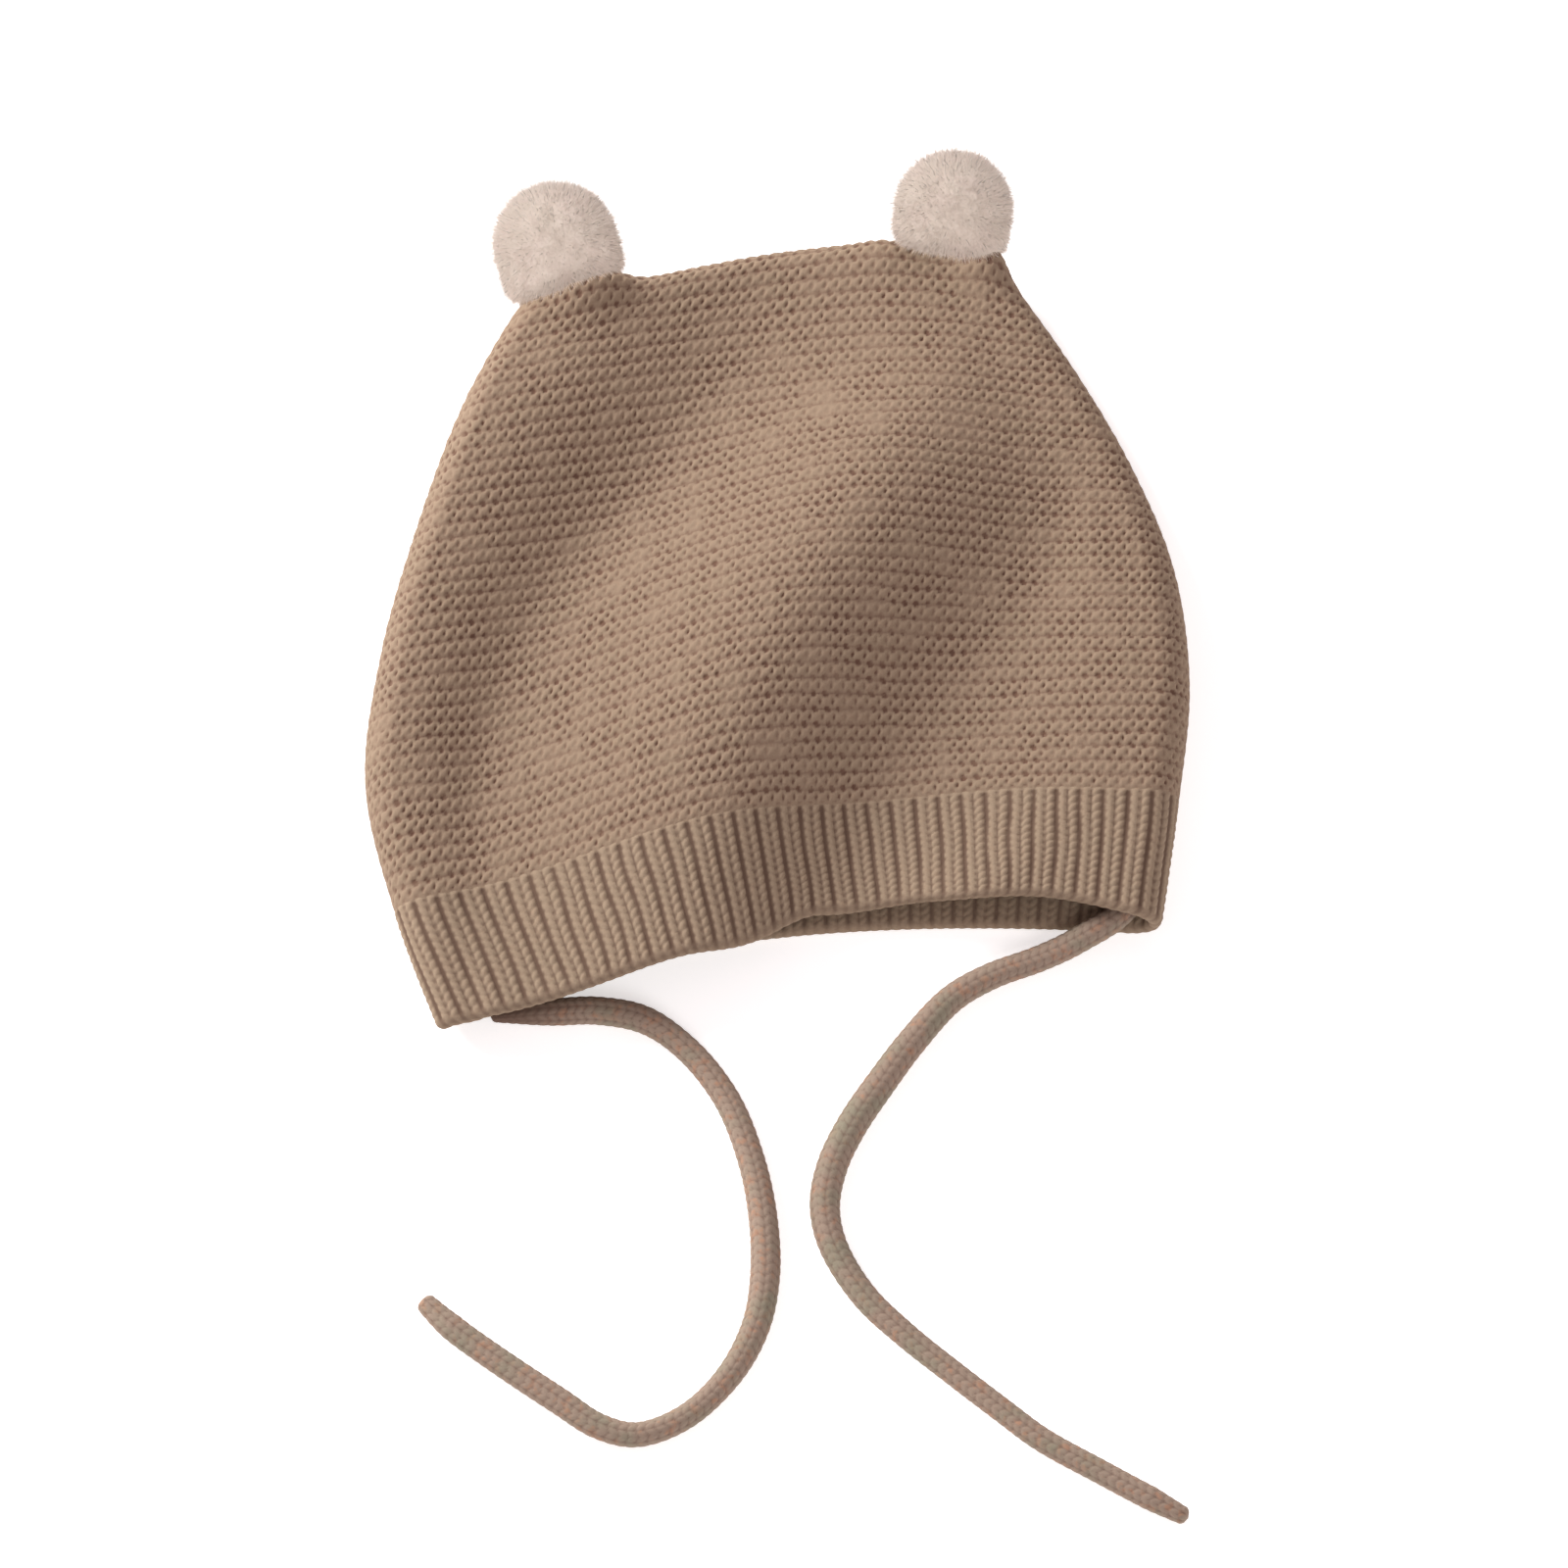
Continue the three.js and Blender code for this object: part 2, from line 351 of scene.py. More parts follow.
class Recipe:
    """A material being built round one Principled shader."""

    def __init__(self, name: str) -> None:
        """Starts a material with only its shader and its output.

        Args:
            name: the material's name.
        """
        self.material = bpy.data.materials.new(name)
        self.material.use_nodes = True
        self.tree = self.material.node_tree
        self.tree.nodes.clear()
        self.shader = self.node("ShaderNodeBsdfPrincipled", {}, {})
        self.node("ShaderNodeOutputMaterial", {}, {"Surface": self.shader.outputs[0]})

    def node(
        self, kind: str, settings: dict[str, Any], sockets: dict[int | str, Any]
    ) -> bpy.types.Node:
        """Adds a node.

        Args:
            kind: the node's type.
            settings: its settings, which are set first.
            sockets: values, signals or links for its input sockets.

        Returns:
            The node.
        """
        node = self.tree.nodes.new(kind)
        for name, value in settings.items():
            setattr(node, name, value)
        for name, value in sockets.items():
            self.feed(node.inputs[name], value)
        return node

    def feed(self, socket: bpy.types.NodeSocket, value: Any) -> None:
        """Sets an input socket.

        Args:
            socket: the input.
            value: a number, colour, vector, signal or output socket.
        """
        if isinstance(value, Signal):
            value = value.socket
        if isinstance(value, bpy.types.NodeSocket):
            self.tree.links.new(value, socket)
        elif socket.type == "RGBA":
            socket.default_value = (*value, 1.0)
        else:
            socket.default_value = value

    def surface(self, sockets: dict[str, Any]) -> None:
        """Feeds the shader: what varies is linked, and what is the same all over is set."""
        for name, value in sockets.items():
            self.feed(self.shader.inputs[name], value)

    def signal(
        self, kind: str, settings: dict[str, Any], sockets: dict[int | str, Any], output: int = 0
    ) -> Signal:
        """Adds a node and wraps its output.

        Args:
            kind: the node's type.
            settings: its settings.
            sockets: its inputs.
            output: which output to wrap.

        Returns:
            The output as a signal.
        """
        return Signal(self, self.node(kind, settings, sockets).outputs[output])

    def mix(self, share: Signal | float, low: Any, high: Any) -> bpy.types.NodeSocket:
        """Mixes two colours.

        Args:
            share: 0 for all low, 1 for all high.
            low: a colour or a colour socket.
            high: a colour or a colour socket.

        Returns:
            The mixed colour's socket.
        """
        factor, first, second, result = 0, 6, 7, 2
        settings = {"data_type": "RGBA"}
        node = self.node("ShaderNodeMix", settings, {factor: share, first: low, second: high})
        return node.outputs[result]

    def proud(self) -> Signal:
        """How proud of the knit a point is, 0 in a gap to 1 on the yarn: the painted shade's mask.
        """
        return self.signal("ShaderNodeAttribute", {"attribute_name": "proud"}, {}, 2)

    def noise(self, size: float, detail: float = 2.0) -> Signal:
        """Soft noise fixed to the bonnet.

        Args:
            size: the noise's grain in millimetres.
            detail: how many finer layers it has.

        Returns:
            Noise about 0.5.
        """
        place = self.node("ShaderNodeTexCoord", {}, {}).outputs["Object"]
        sockets = {"Vector": place, "Scale": 1 / (size * MM), "Detail": detail}
        return self.signal("ShaderNodeTexNoise", {}, sockets)

    def bump(self, height: Signal, depth: float, strength: float) -> bpy.types.NodeSocket:
        """Adds a bump.

        Args:
            height: the height, about 0 to 1.
            depth: how deep that is, in millimetres.
            strength: how strongly it shows.

        Returns:
            The bumped normal's socket.
        """
        sockets = {"Strength": strength, "Distance": depth * MM, "Height": height}
        return self.node("ShaderNodeBump", {}, sockets).outputs[0]


# ---------------------------------------------------------------- finishes


@dataclass(frozen=True)
class YarnFinish:
    """Soft wool yarn, flecked and a little hairy, with painted shade: darker and redder between
    strands.

    Attributes:
        name: the material's name.
        light: colour on top of the yarn.
        gap_shade: painted shade, the colour deep between the strands.
        warm: colour of the warmer flecks.
        cool: colour of the cooler flecks.
        flecks: how strongly the flecks show.
        fleck_size: size of the warm flecks in millimetres.
        tone_size: size of the cool patches in millimetres.
        deep: value of proud at which the painted shade is darkest.
        high: value of proud from which the yarn has no painted shade.
        hair_size: size of the hairs in millimetres.
        hairs: depth of the hairs' bump in millimetres.
        hair_bump: how strongly that bump shows.
        uneven: how unevenly the hairs catch the light.
        smoothest: the least roughness.
        sheen: strength of the fuzz's sheen.
        sheen_spread: how wide that sheen is.
        shine: how strongly the yarn reflects.
    """

    name: str
    light: Colour
    gap_shade: Colour
    warm: Colour
    cool: Colour
    flecks: float = 0.25
    fleck_size: float = 1.4
    tone_size: float = 9.0
    deep: float = 0.1
    high: float = 0.85
    hair_size: float = 0.6
    hairs: float = 0.12
    hair_bump: float = 0.6
    uneven: float = 0.6
    smoothest: float = 0.86
    sheen: float = 0.25
    sheen_spread: float = 0.6
    shine: float = 0.15

    # From where the noise is all plain yarn to where it is all fleck.
    WARM_FROM_TO: ClassVar[tuple[float, float]] = (0.52, 0.72)
    COOL_FROM_TO: ClassVar[tuple[float, float]] = (0.45, 0.75)

    def material(self) -> bpy.types.Material:
        """Makes the material.

        Returns:
            The material, ready to put on a piece.
        """
        recipe = Recipe(self.name)
        tone = recipe.noise(self.tone_size)
        fleck = recipe.noise(self.fleck_size)
        hair = recipe.noise(self.hair_size, 3.0)
        yarn = recipe.mix(fleck.step(*self.WARM_FROM_TO) * self.flecks, self.light, self.warm)
        yarn = recipe.mix(tone.step(*self.COOL_FROM_TO) * self.flecks, yarn, self.cool)
        # Painted shade: the less proud the yarn, the more its colour goes to gap_shade.
        lit = recipe.proud().step(self.deep, self.high) * hair.about_one(self.uneven)
        recipe.surface({
            "Base Color": recipe.mix(lit, self.gap_shade, yarn),
            "Roughness": self.smoothest + (1 - self.smoothest) * hair,
            "Normal": recipe.bump(hair, self.hairs, self.hair_bump),
            "Sheen Weight": self.sheen,
            "Sheen Roughness": self.sheen_spread,
            "Sheen Tint": self.light,
            "Specular IOR Level": self.shine,
        })
        return recipe.material


@dataclass(frozen=True)
class PlushFinish:
    """Dense cut pile: creamy tips over a darker root, painted shade deep in the pile; unevenly
    toned.

    Attributes:
        name: the material's name.
        tip: colour of the pile's tips.
        root: colour at its roots, darker as painted shade deep in the pile.
        blush: a pinker tone that comes and goes.
        most_blush: its share where it is strongest.
        tone_size: size of the blush's patches in millimetres.
        tuft_size: size of the tufts in millimetres.
        uneven: how unevenly the tufts catch the light.
        smoothest: the least roughness.
        sheen: strength of the fuzz's sheen.
        sheen_spread: how wide that sheen is.
        shine: how strongly the pile reflects.
    """

    name: str
    tip: Colour
    root: Colour
    blush: Colour
    most_blush: float = 0.5
    tone_size: float = 6.0
    tuft_size: float = 1.1
    uneven: float = 0.5
    smoothest: float = 0.9
    sheen: float = 1.0
    sheen_spread: float = 0.4
    shine: float = 0.1

    # From where the noise is all tip to where the blush is strongest.
    BLUSH_FROM_TO: ClassVar[tuple[float, float]] = (0.4, 0.7)

    def material(self) -> bpy.types.Material:
        """Makes the material.

        Returns:
            The material, ready to put on a piece.
        """
        recipe = Recipe(self.name)
        tone = recipe.noise(self.tone_size)
        tuft = recipe.noise(self.tuft_size)
        tip = recipe.mix(tone.step(*self.BLUSH_FROM_TO) * self.most_blush, self.tip, self.blush)
        # Painted shade: the roots, the ball and its hollows are coloured darker than the tips.
        lit = recipe.proud().step(0.0, 1.0) * tuft.about_one(self.uneven)
        recipe.surface({
            "Base Color": recipe.mix(lit, self.root, tip),
            "Roughness": self.smoothest + (1 - self.smoothest) * tuft,
            "Sheen Weight": self.sheen,
            "Sheen Roughness": self.sheen_spread,
            "Specular IOR Level": self.shine,
        })
        return recipe.material


@dataclass(frozen=True)
class PaperFinish:
    """Smooth white card with a faint tooth, which glows a little so that it stays pale.

    Attributes:
        name: the material's name.
        colour: the card's colour.
        glow: strength of its glow.
        tooth_size: size of the tooth in millimetres.
        roughness: the least roughness.
        tooth: how much rougher the tooth makes it.
        shine: how strongly the card reflects.
    """

    name: str = "white_card"
    colour: Colour = (0.9, 0.9, 0.9)
    glow: float = 0.55
    tooth_size: float = 0.8
    roughness: float = 0.8
    tooth: float = 0.1
    shine: float = 0.1

    def material(self) -> bpy.types.Material:
        """Makes the material.

        Returns:
            The material, ready to put on the floor.
        """
        recipe = Recipe(self.name)
        recipe.surface({
            "Base Color": self.colour,
            "Roughness": self.roughness + self.tooth * recipe.noise(self.tooth_size, 3.0),
            "Specular IOR Level": self.shine,
            "Emission Color": (1.0, 1.0, 1.0),
            "Emission Strength": self.glow,
        })
        return recipe.material


GARTER_WOOL = YarnFinish(
    name="garter_knit",
    light=(0.300, 0.218, 0.152),
    gap_shade=(0.146, 0.080, 0.055),
    warm=(0.330, 0.218, 0.147),
    cool=(0.277, 0.213, 0.142),
    deep=0.2,
    high=0.8,
)
RIB_WOOL = YarnFinish(
    name="rib_knit",
    light=(0.324, 0.242, 0.169),
    gap_shade=(0.128, 0.080, 0.056),
    warm=(0.340, 0.229, 0.153),
    cool=(0.284, 0.222, 0.153),
)
TIE_WOOL = YarnFinish(
    name="tie_knit",
    light=(0.323, 0.244, 0.188),
    gap_shade=(0.150, 0.096, 0.072),
    warm=(0.410, 0.226, 0.142),
    cool=(0.256, 0.244, 0.176),
    flecks=0.75,
    fleck_size=2.4,
)
POMPOM_PLUSH = PlushFinish(
    name="pompom_yarn",
    tip=(0.89, 0.80, 0.70),
    root=(0.77, 0.675, 0.575),
    blush=(0.89, 0.76, 0.68),
)


# ---------------------------------------------------------------- curves


def rounded(distance: Array, width: Array | float) -> Array:
    """Quarter-circle rise from an edge: 0 on the edge, 1 from the rounding's width on."""
    short = 1 - np.clip(distance / width, 0, 1)
    return np.sqrt(1 - short * short)


def half_round(distance: Array, radius: float) -> Array:
    """Half-circle section: 1 on its middle line, 0 from its radius on."""
    return np.sqrt(np.maximum(1 - (distance / radius) ** 2, 0))


def eased(value: Array, level: float, share: Array) -> Array:
    """The value brought a share of the way to a level."""
    return value + (level - value) * share


def lengths_along(line: Array) -> Array:
    """Length along a line, from its start to each of its points."""
    steps = np.linalg.norm(np.diff(line, axis=0), axis=1)
    return np.concatenate([[0], np.cumsum(steps)])


# ---------------------------------------------------------------- the bonnet's form


class Layer(Enum):
    """Which layer of the flattened bonnet a point is on."""

    FRONT = "front"
    BACK = "back"


@dataclass(frozen=True)
class Arch:
    """How a course bulges towards the top fold between the side folds.

    Attributes:
        rise: the most that it bulges, in millimetres.
        peak: the share of the width where it bulges most.
        power: above 1 keeps the bulge to the middle.
    """

    rise: float
    peak: float
    power: float


@dataclass(frozen=True)
class Section:
    """One cross-section of the bonnet.

    Attributes:
        at: crown lengths above the band's top edge.
        left: where the left side fold passes, in millimetres.
        right: where the right side fold passes, in millimetres.
        front: the front layer's arch.
        back: the back layer's arch.
        folds: each crest or hollow's share of the width and outside height, from left to right.
    """

    at: float
    left: tuple[float, float]
    right: tuple[float, float]
    front: Arch
    back: Arch
    folds: tuple[tuple[float, float], ...]

    LEFT: ClassVar[slice] = slice(0, 2)
    RIGHT: ClassVar[slice] = slice(2, 4)
    ARCHES: ClassVar[dict[Layer, slice]] = {Layer.FRONT: slice(4, 7), Layer.BACK: slice(7, 10)}
    PLACES: ClassVar[slice] = slice(10, 15)
    HEIGHTS: ClassVar[slice] = slice(15, 20)

    def numbers(self) -> list[float]:
        """Lines up all that changes from section to section.

        Returns:
            One row of numbers, each kind where the slices above say.
        """
        arches = [n for arch in (self.front, self.back) for n in (arch.rise, arch.peak, arch.power)]
        places = [place for place, _ in self.folds]
        heights = [height for _, height in self.folds]
        return [*self.left, *self.right, *arches, *places, *heights]


@dataclass(frozen=True)
class Form:
    """The bonnet's outer form as it lies: two layers of knit joined by side folds and a top fold.

    Attributes:
        wall: thickness of the knit, in millimetres.
        edge_height: height of the side folds and of the top fold above the floor.
        side_rounding: how far from a side fold the layers are rounded.
        top_rounding: how far from the top fold they are rounded.
        length: from the band's top edge to the top fold.
        hem: the hem's place, in crown lengths above the band's top edge.
    """

    wall: float = 2.8
    edge_height: float = 7.0
    side_rounding: float = 8.0
    top_rounding: float = 7.0
    length: float = 148.0
    hem: float = -0.22

    # How many places a course is measured at, and how closely they crowd at the side folds.
    COURSE_PLACES: ClassVar[int] = 700
    CROWDING: ClassVar[float] = 0.97

    # Section(at, left fold, right fold, front Arch(rise, peak, power), back Arch,
    #         folds of the front layer (share, height))
    SECTIONS: ClassVar[tuple[Section, ...]] = (
        Section(-0.22, (-90.5, -106.0), (87.5, -97.8), Arch(15.0, 0.66, 1.3), Arch(13.6, 0.4, 1.0),
                ((0.045, 11), (0.075, 12.8), (0.345, 18.9), (0.565, 8.4), (0.78, 14.6))),
        Section(0.0, (-98.0, -74.5), (95.4, -65.6), Arch(9.5, 0.58, 1.4), Arch(10.0, 0.45, 1.2),
                ((0.05, 14.8), (0.115, 13.4), (0.4, 23.4), (0.64, 11.2), (0.9, 16.1))),
        Section(0.2, (-101.8, -41.0), (101.2, -36.0), Arch(9.0, 0.56, 1.5), Arch(9.0, 0.52, 1.5),
                ((0.05, 17.4), (0.154, 12.4), (0.47, 27.4), (0.74, 12.8), (0.94, 17.2))),
        Section(0.4, (-94.8, -8.5), (100.6, -6.0), Arch(8.5, 0.54, 1.5), Arch(8.5, 0.54, 1.5),
                ((0.05, 18.6), (0.204, 12.6), (0.556, 28), (0.838, 13.8), (0.913, 15.9))),
        Section(0.6, (-83.1, 22.5), (92.7, 23.0), Arch(8.0, 0.54, 1.5), Arch(8.0, 0.54, 1.5),
                ((0.054, 19.8), (0.322, 11.5), (0.67, 23.4), (0.91, 15), (0.944, 14.7))),
        Section(0.8, (-68.9, 52.9), (80.7, 51.0), Arch(8.0, 0.56, 1.4), Arch(8.0, 0.56, 1.4),
                ((0.089, 19.6), (0.465, 11.3), (0.793, 15.5), (0.906, 14.4), (0.952, 13.9))),
        Section(1.0, (-52.0, 79.5), (66.6, 77.5), Arch(8.4, 0.64, 1.0), Arch(8.4, 0.64, 1.0),
                ((0.141, 15.6), (0.559, 11.4), (0.819, 12.5), (0.9, 12.5), (0.95, 12.5))),
    )

    def sections(self, at: Array) -> Array:
        """The cross-sections at any places, by a cubic through the neighbouring ones.

        Args:
            at: crown lengths above the band's top edge.

        Returns:
            A row of Section.numbers for each place.
        """
        places = np.array([section.at for section in self.SECTIONS])
        rows = np.array([section.numbers() for section in self.SECTIONS], float)
        last = len(places) - 1
        to = np.clip(np.searchsorted(places, at, side="right"), 1, last)
        start = to - 1
        before, after = np.maximum(to - 2, 0), np.minimum(to + 1, last)
        span = (places[to] - places[start])[:, None]
        u = (at[:, None] - places[start][:, None]) / span
        slope_start = (rows[to] - rows[before]) / (places[to] - places[before])[:, None] * span
        slope_to = (rows[after] - rows[start]) / (places[after] - places[start])[:, None] * span
        return (
            (2 * u**3 - 3 * u**2 + 1) * rows[start] + (u**3 - 2 * u**2 + u) * slope_start
            + (3 * u**2 - 2 * u**3) * rows[to] + (u**3 - u**2) * slope_to
        )

    def front_height(self, section: Array, share: Array) -> Array:
        """Height of the front layer's outside: it swells and dips smoothly from fold to fold.

        Args:
            section: rows of Section.numbers.
            share: shares of the width, a row for each section.

        Returns:
            Heights in millimetres, shaped like the shares.
        """
        places, heights = section[:, Section.PLACES], section[:, Section.HEIGHTS]
        height = np.repeat(heights[:, :1], share.shape[1], 1)
        for k in range(places.shape[1] - 1):
            run = (places[:, k + 1] - places[:, k])[:, None]
            u = np.clip((share - places[:, k : k + 1]) / run, 0, 1)
            height = height + (heights[:, k + 1] - heights[:, k])[:, None] * u * u * (3 - 2 * u)
        return height

    def points(self, layer: Layer, share: Array, at: Array, inset: Array | float = 0.0) -> Array:
        """Points of the knit's outside, or of a surface deeper in it.

        Args:
            layer: front or back.
            share: shares of the width, rows by columns.
            at: crown lengths above the band's top edge, one for each row.
            inset: depth under the outside in millimetres, one for each row or one for all.

        Returns:
            Points in millimetres, rows by columns by 3.
        """
        deep = np.broadcast_to(np.asarray(inset, float), at.shape)
        place = np.where(at > 0, at * (1 - deep / self.length), at)
        section = self.sections(place)
        deep = deep[:, None]
        left, right = section[:, Section.LEFT, None], section[:, Section.RIGHT, None]
        width = right[:, 0] - left[:, 0]
        along = deep / width + share * (1 - 2 * deep / width)
        arches = section[:, Section.ARCHES[layer], None]
        rise, peak, power = arches[:, 0], arches[:, 1], arches[:, 2]
        skewed = np.clip(along, TINY, 1) ** (math.log(0.5) / np.log(peak))
        arch = rise * np.maximum(4 * skewed * (1 - skewed), 0) ** power
        x = left[:, 0] + width * along
        y = left[:, 1] + (right[:, 1] - left[:, 1]) * along + arch
        from_side = np.minimum(share, 1 - share) * (width - 2 * deep)
        from_top = (1 - at)[:, None] * (self.length - deep)
        lift = rounded(from_side, self.side_rounding - deep)
        lift = lift * rounded(from_top, self.top_rounding - deep)
        outermost = deep + 0 * along
        if layer is Layer.FRONT:
            outermost = self.front_height(section, along) - deep
        z = self.edge_height + (outermost - self.edge_height) * lift
        return np.stack([x, y, z], -1)

    def course(self, layer: Layer, at: Array, inset: Array | float = 0.0) -> tuple[Array, Array]:
        """Length along each course, measured on the knit.

        Args:
            layer: front or back.
            at: the courses' places.
            inset: depth under the outside.

        Returns:
            Shares of the width, and each course's length from the left fold to each of them.
        """
        even = np.linspace(0, 1, self.COURSE_PLACES)
        share = even - self.CROWDING * np.sin(FULL_TURN * even) / FULL_TURN
        points = self.points(layer, np.tile(share, (len(at), 1)), at, inset)
        steps = np.linalg.norm(np.diff(points, axis=1), axis=-1)
        return share, np.concatenate([np.zeros((len(at), 1)), np.cumsum(steps, 1)], 1)


# ---------------------------------------------------------------- stitches


@dataclass(frozen=True)
class Wobble:
    """Gentle unevenness of the yarn: a few slow waves across stitches and courses.

    Attributes:
        size: about the most that it moves.
        seed: which set of waves.
        pace: how quickly it changes across and along.
        waves: how many there are.
    """

    size: float
    seed: int
    pace: tuple[float, float] = (1.0, 1.0)
    waves: int = 7

    QUICKEST: ClassVar[float] = 1.9  # the most that a wave turns in a stitch, in radians

    def at(self, across: Array, along: Array) -> Array:
        """Unevenness at stitch places.

        Args:
            across: stitch places across.
            along: stitch places along.

        Returns:
            One number for each place.
        """
        random = np.random.default_rng(self.seed)
        across, along = across * self.pace[0], along * self.pace[1]
        total = np.zeros(np.broadcast(across, along).shape)
        for _ in range(self.waves):
            u, v = random.uniform(-self.QUICKEST, self.QUICKEST, 2)
            total += np.sin(u * across + v * along + random.uniform(0, FULL_TURN))
        return self.size * total / math.sqrt(self.waves)


def per_stitch(across: Array, along: Array, seed: int) -> Array:
    """A fixed random number from -1 to 1 for each stitch.

    Args:
        across: stitch places across.
        along: stitch places along.
        seed: which set of numbers.

    Returns:
        One number for each place, the same all over a stitch.
    """
    before_repeating = (211, 223)
    table = np.random.default_rng(seed).uniform(-1, 1, before_repeating)
    column = np.round(across).astype(int) % table.shape[0]
    row = np.round(along).astype(int) % table.shape[1]
    return table[column, row]


@dataclass(frozen=True)
class GarterStitch:
    """Garter stitch: each ridge is two strands that swing apart and together once a stitch.

    Attributes:
        width: one stitch, in millimetres.
        ridge: from ridge to ridge, in millimetres.
        yarn: radius of the yarn.
        depth: how deep the gaps between strands would be if empty.
        filling: how far loose wool fills them.
        fullest: the most that it fills them.
        apart: how far a strand runs from the ridge's middle, in ridges.
        swing: how far it swings from there, in ridges.
        lead: how far one strand's swing leads, in stitches.
        dip: how much lower a strand lies in the middle of its swing.
        sag: how much lower the knit lies between ridges.
        uneven: how much stitches differ in height.
        loose: how much they differ in filling.
        seam: how much of the first ridge is evened out, in ridges.
        seam_level: how proud the knit is there.
    """

    width: float = 3.0
    ridge: float = 3.87
    yarn: float = 0.84
    depth: float = 0.85
    filling: float = 0.41
    fullest: float = 0.8
    apart: float = 0.12
    swing: float = 0.2
    lead: float = 0.03
    dip: float = 0.14
    sag: float = 0.08
    uneven: float = 0.06
    loose: float = 0.17
    seam: float = 0.22
    seam_level: float = 0.75

    SIDEWAYS: ClassVar[Wobble] = Wobble(0.1, 3, (0.9, 1.3))
    LENGTHWISE: ClassVar[Wobble] = Wobble(0.065, 8, (0.8, 0.7))
    LOOSENESS: ClassVar[Wobble] = Wobble(0.07, 40, (0.8, 0.8))

    def relief(self, across: Array, along: Array) -> Array:
        """How proud the yarn stands.

        Args:
            across: place in stitches.
            along: place in ridges; the first ridge starts at a half.

        Returns:
            0 in the gaps to about 1 on top of the yarn.
        """
        a = across + self.SIDEWAYS.at(across, along)
        b = along + self.LENGTHWISE.at(across, along)
        within = b - np.round(b)
        loose = self.LOOSENESS.at(across, along) + self.loose * per_stitch(a, b, seed=6)
        best = np.clip(self.filling + loose, 0, self.fullest)
        for side in (1, -1):
            turn = FULL_TURN * (a - side * self.lead)
            out = np.cos(turn)
            slope = self.swing * FULL_TURN * np.sin(turn) * self.ridge / self.width
            for neighbour in (-1, 0, 1):
                middle = neighbour + side * (self.apart + self.swing * out)
                distance = (within - middle) * self.ridge / np.sqrt(1 + slope**2)
                strand = (1 - self.dip - self.dip * out) * half_round(distance, self.yarn)
                best = np.maximum(best, strand)
        best = best * (1 + self.uneven * per_stitch(a, b, seed=5))
        best = best * (1 - self.sag * np.abs(2 * within) ** 3)
        return eased(best, self.seam_level, np.clip(1 - (along - 0.5) / self.seam, 0, 1))


@dataclass(frozen=True)
class RibStitch:
    """One by one rib: columns of V stitches with deep grooves between them.

    Attributes:
        width: from column to column, in millimetres.
        row: height of one V.
        yarn: radius of a V's leg.
        depth: how deep the grooves are.
        filling: how far loose wool fills them.
        leg: how far a V's leg starts from the column's middle line.
        slant: how much further from it the leg ends, a row higher.
        reach: how far it reaches below and above its middle, in rows.
        half_rib: half the width of the rib under the stitches.
        shoulder: how far that rib's edges are rounded.
        body: how proud that rib stands.
        crease: depth of the crease along the middle line.
        crease_width: about how wide that crease is.
        camber: how much lower the stitches lie halfway to the next column.
        uneven: how much stitches differ in height.
        seam: how far below the crown the rib is evened out.
        seam_level: how proud it is there.
    """

    width: float = 5.6
    row: float = 2.25
    yarn: float = 1.0
    depth: float = 0.8
    filling: float = 0.15
    leg: float = 0.7
    slant: float = 0.95
    reach: float = 0.77
    half_rib: float = 2.55
    shoulder: float = 0.6
    body: float = 0.5
    crease: float = 0.4
    crease_width: float = 0.38
    camber: float = 0.2
    uneven: float = 0.05
    seam: float = 0.9
    seam_level: float = 0.75

    SIDEWAYS: ClassVar[Wobble] = Wobble(0.03, 12, (1.0, 0.4))
    LENGTHWISE: ClassVar[Wobble] = Wobble(0.1, 21, (1.7, 0.5))

    def relief(self, across: Array, along: Array) -> Array:
        """How proud the yarn stands.

        Args:
            across: place in columns, whole numbers in the middle of a column.
            along: place in rows, 0 at the crown and less below it.

        Returns:
            0 in the grooves to about 1 on top of the yarn.
        """
        a = across + self.SIDEWAYS.at(across, along)
        b = along + self.LENGTHWISE.at(across, along)
        x = np.abs(a - np.round(a)) * self.width
        within = b - np.floor(b)
        tilted = math.sqrt(1 + (self.slant / self.row) ** 2)
        best = np.zeros(np.broadcast(a, b).shape)
        for start in (-1, 0, 1):
            rise = within - start
            distance = (x - self.leg - self.slant * rise) / tilted
            leg = half_round(distance, self.yarn) * half_round(rise - 0.5, self.reach)
            best = np.maximum(best, leg)
        from_edge = self.half_rib - x
        best = best * np.clip(2 * from_edge / self.shoulder, 0, 1)
        best = np.maximum(best, self.body * rounded(from_edge, self.shoulder))
        best = best * (1 - self.crease * np.exp(-((x / self.crease_width) ** 2)))
        best = best * (1 - self.camber * (x / (self.width / 2)) ** 2)
        best = best * (1 + self.uneven * per_stitch(a, b, seed=9))
        best = np.maximum(best, self.filling)
        return eased(best, self.seam_level, np.clip(1 + along * self.row / self.seam, 0, 1))


# ---------------------------------------------------------------- crown


@dataclass(frozen=True)
class Gather:
    """A place where the knit is drawn to one side, as under a pompom or where the hem curls.

    Attributes:
        middle: its middle in plan.
        size: how far it spreads.
        move: how far the knit is moved at its middle.
        free: height above the floor from which the knit moves all the way.
    """

    middle: tuple[float, float]
    size: float
    move: Point
    free: float = 9.0

    def offsets(self, points: Array) -> Array:
        """How far each point moves; the back layer on the floor stays.

        Args:
            points: points by 3, in millimetres.

        Returns:
            The moves, shaped like the points.
        """
        away = np.linalg.norm(points[:, :2] - np.array(self.middle), axis=1) / self.size
        free = np.clip(points[:, 2] / self.free, 0, 1)
        return (np.exp(-(away**2)) * free**2)[:, None] * np.array(self.move)


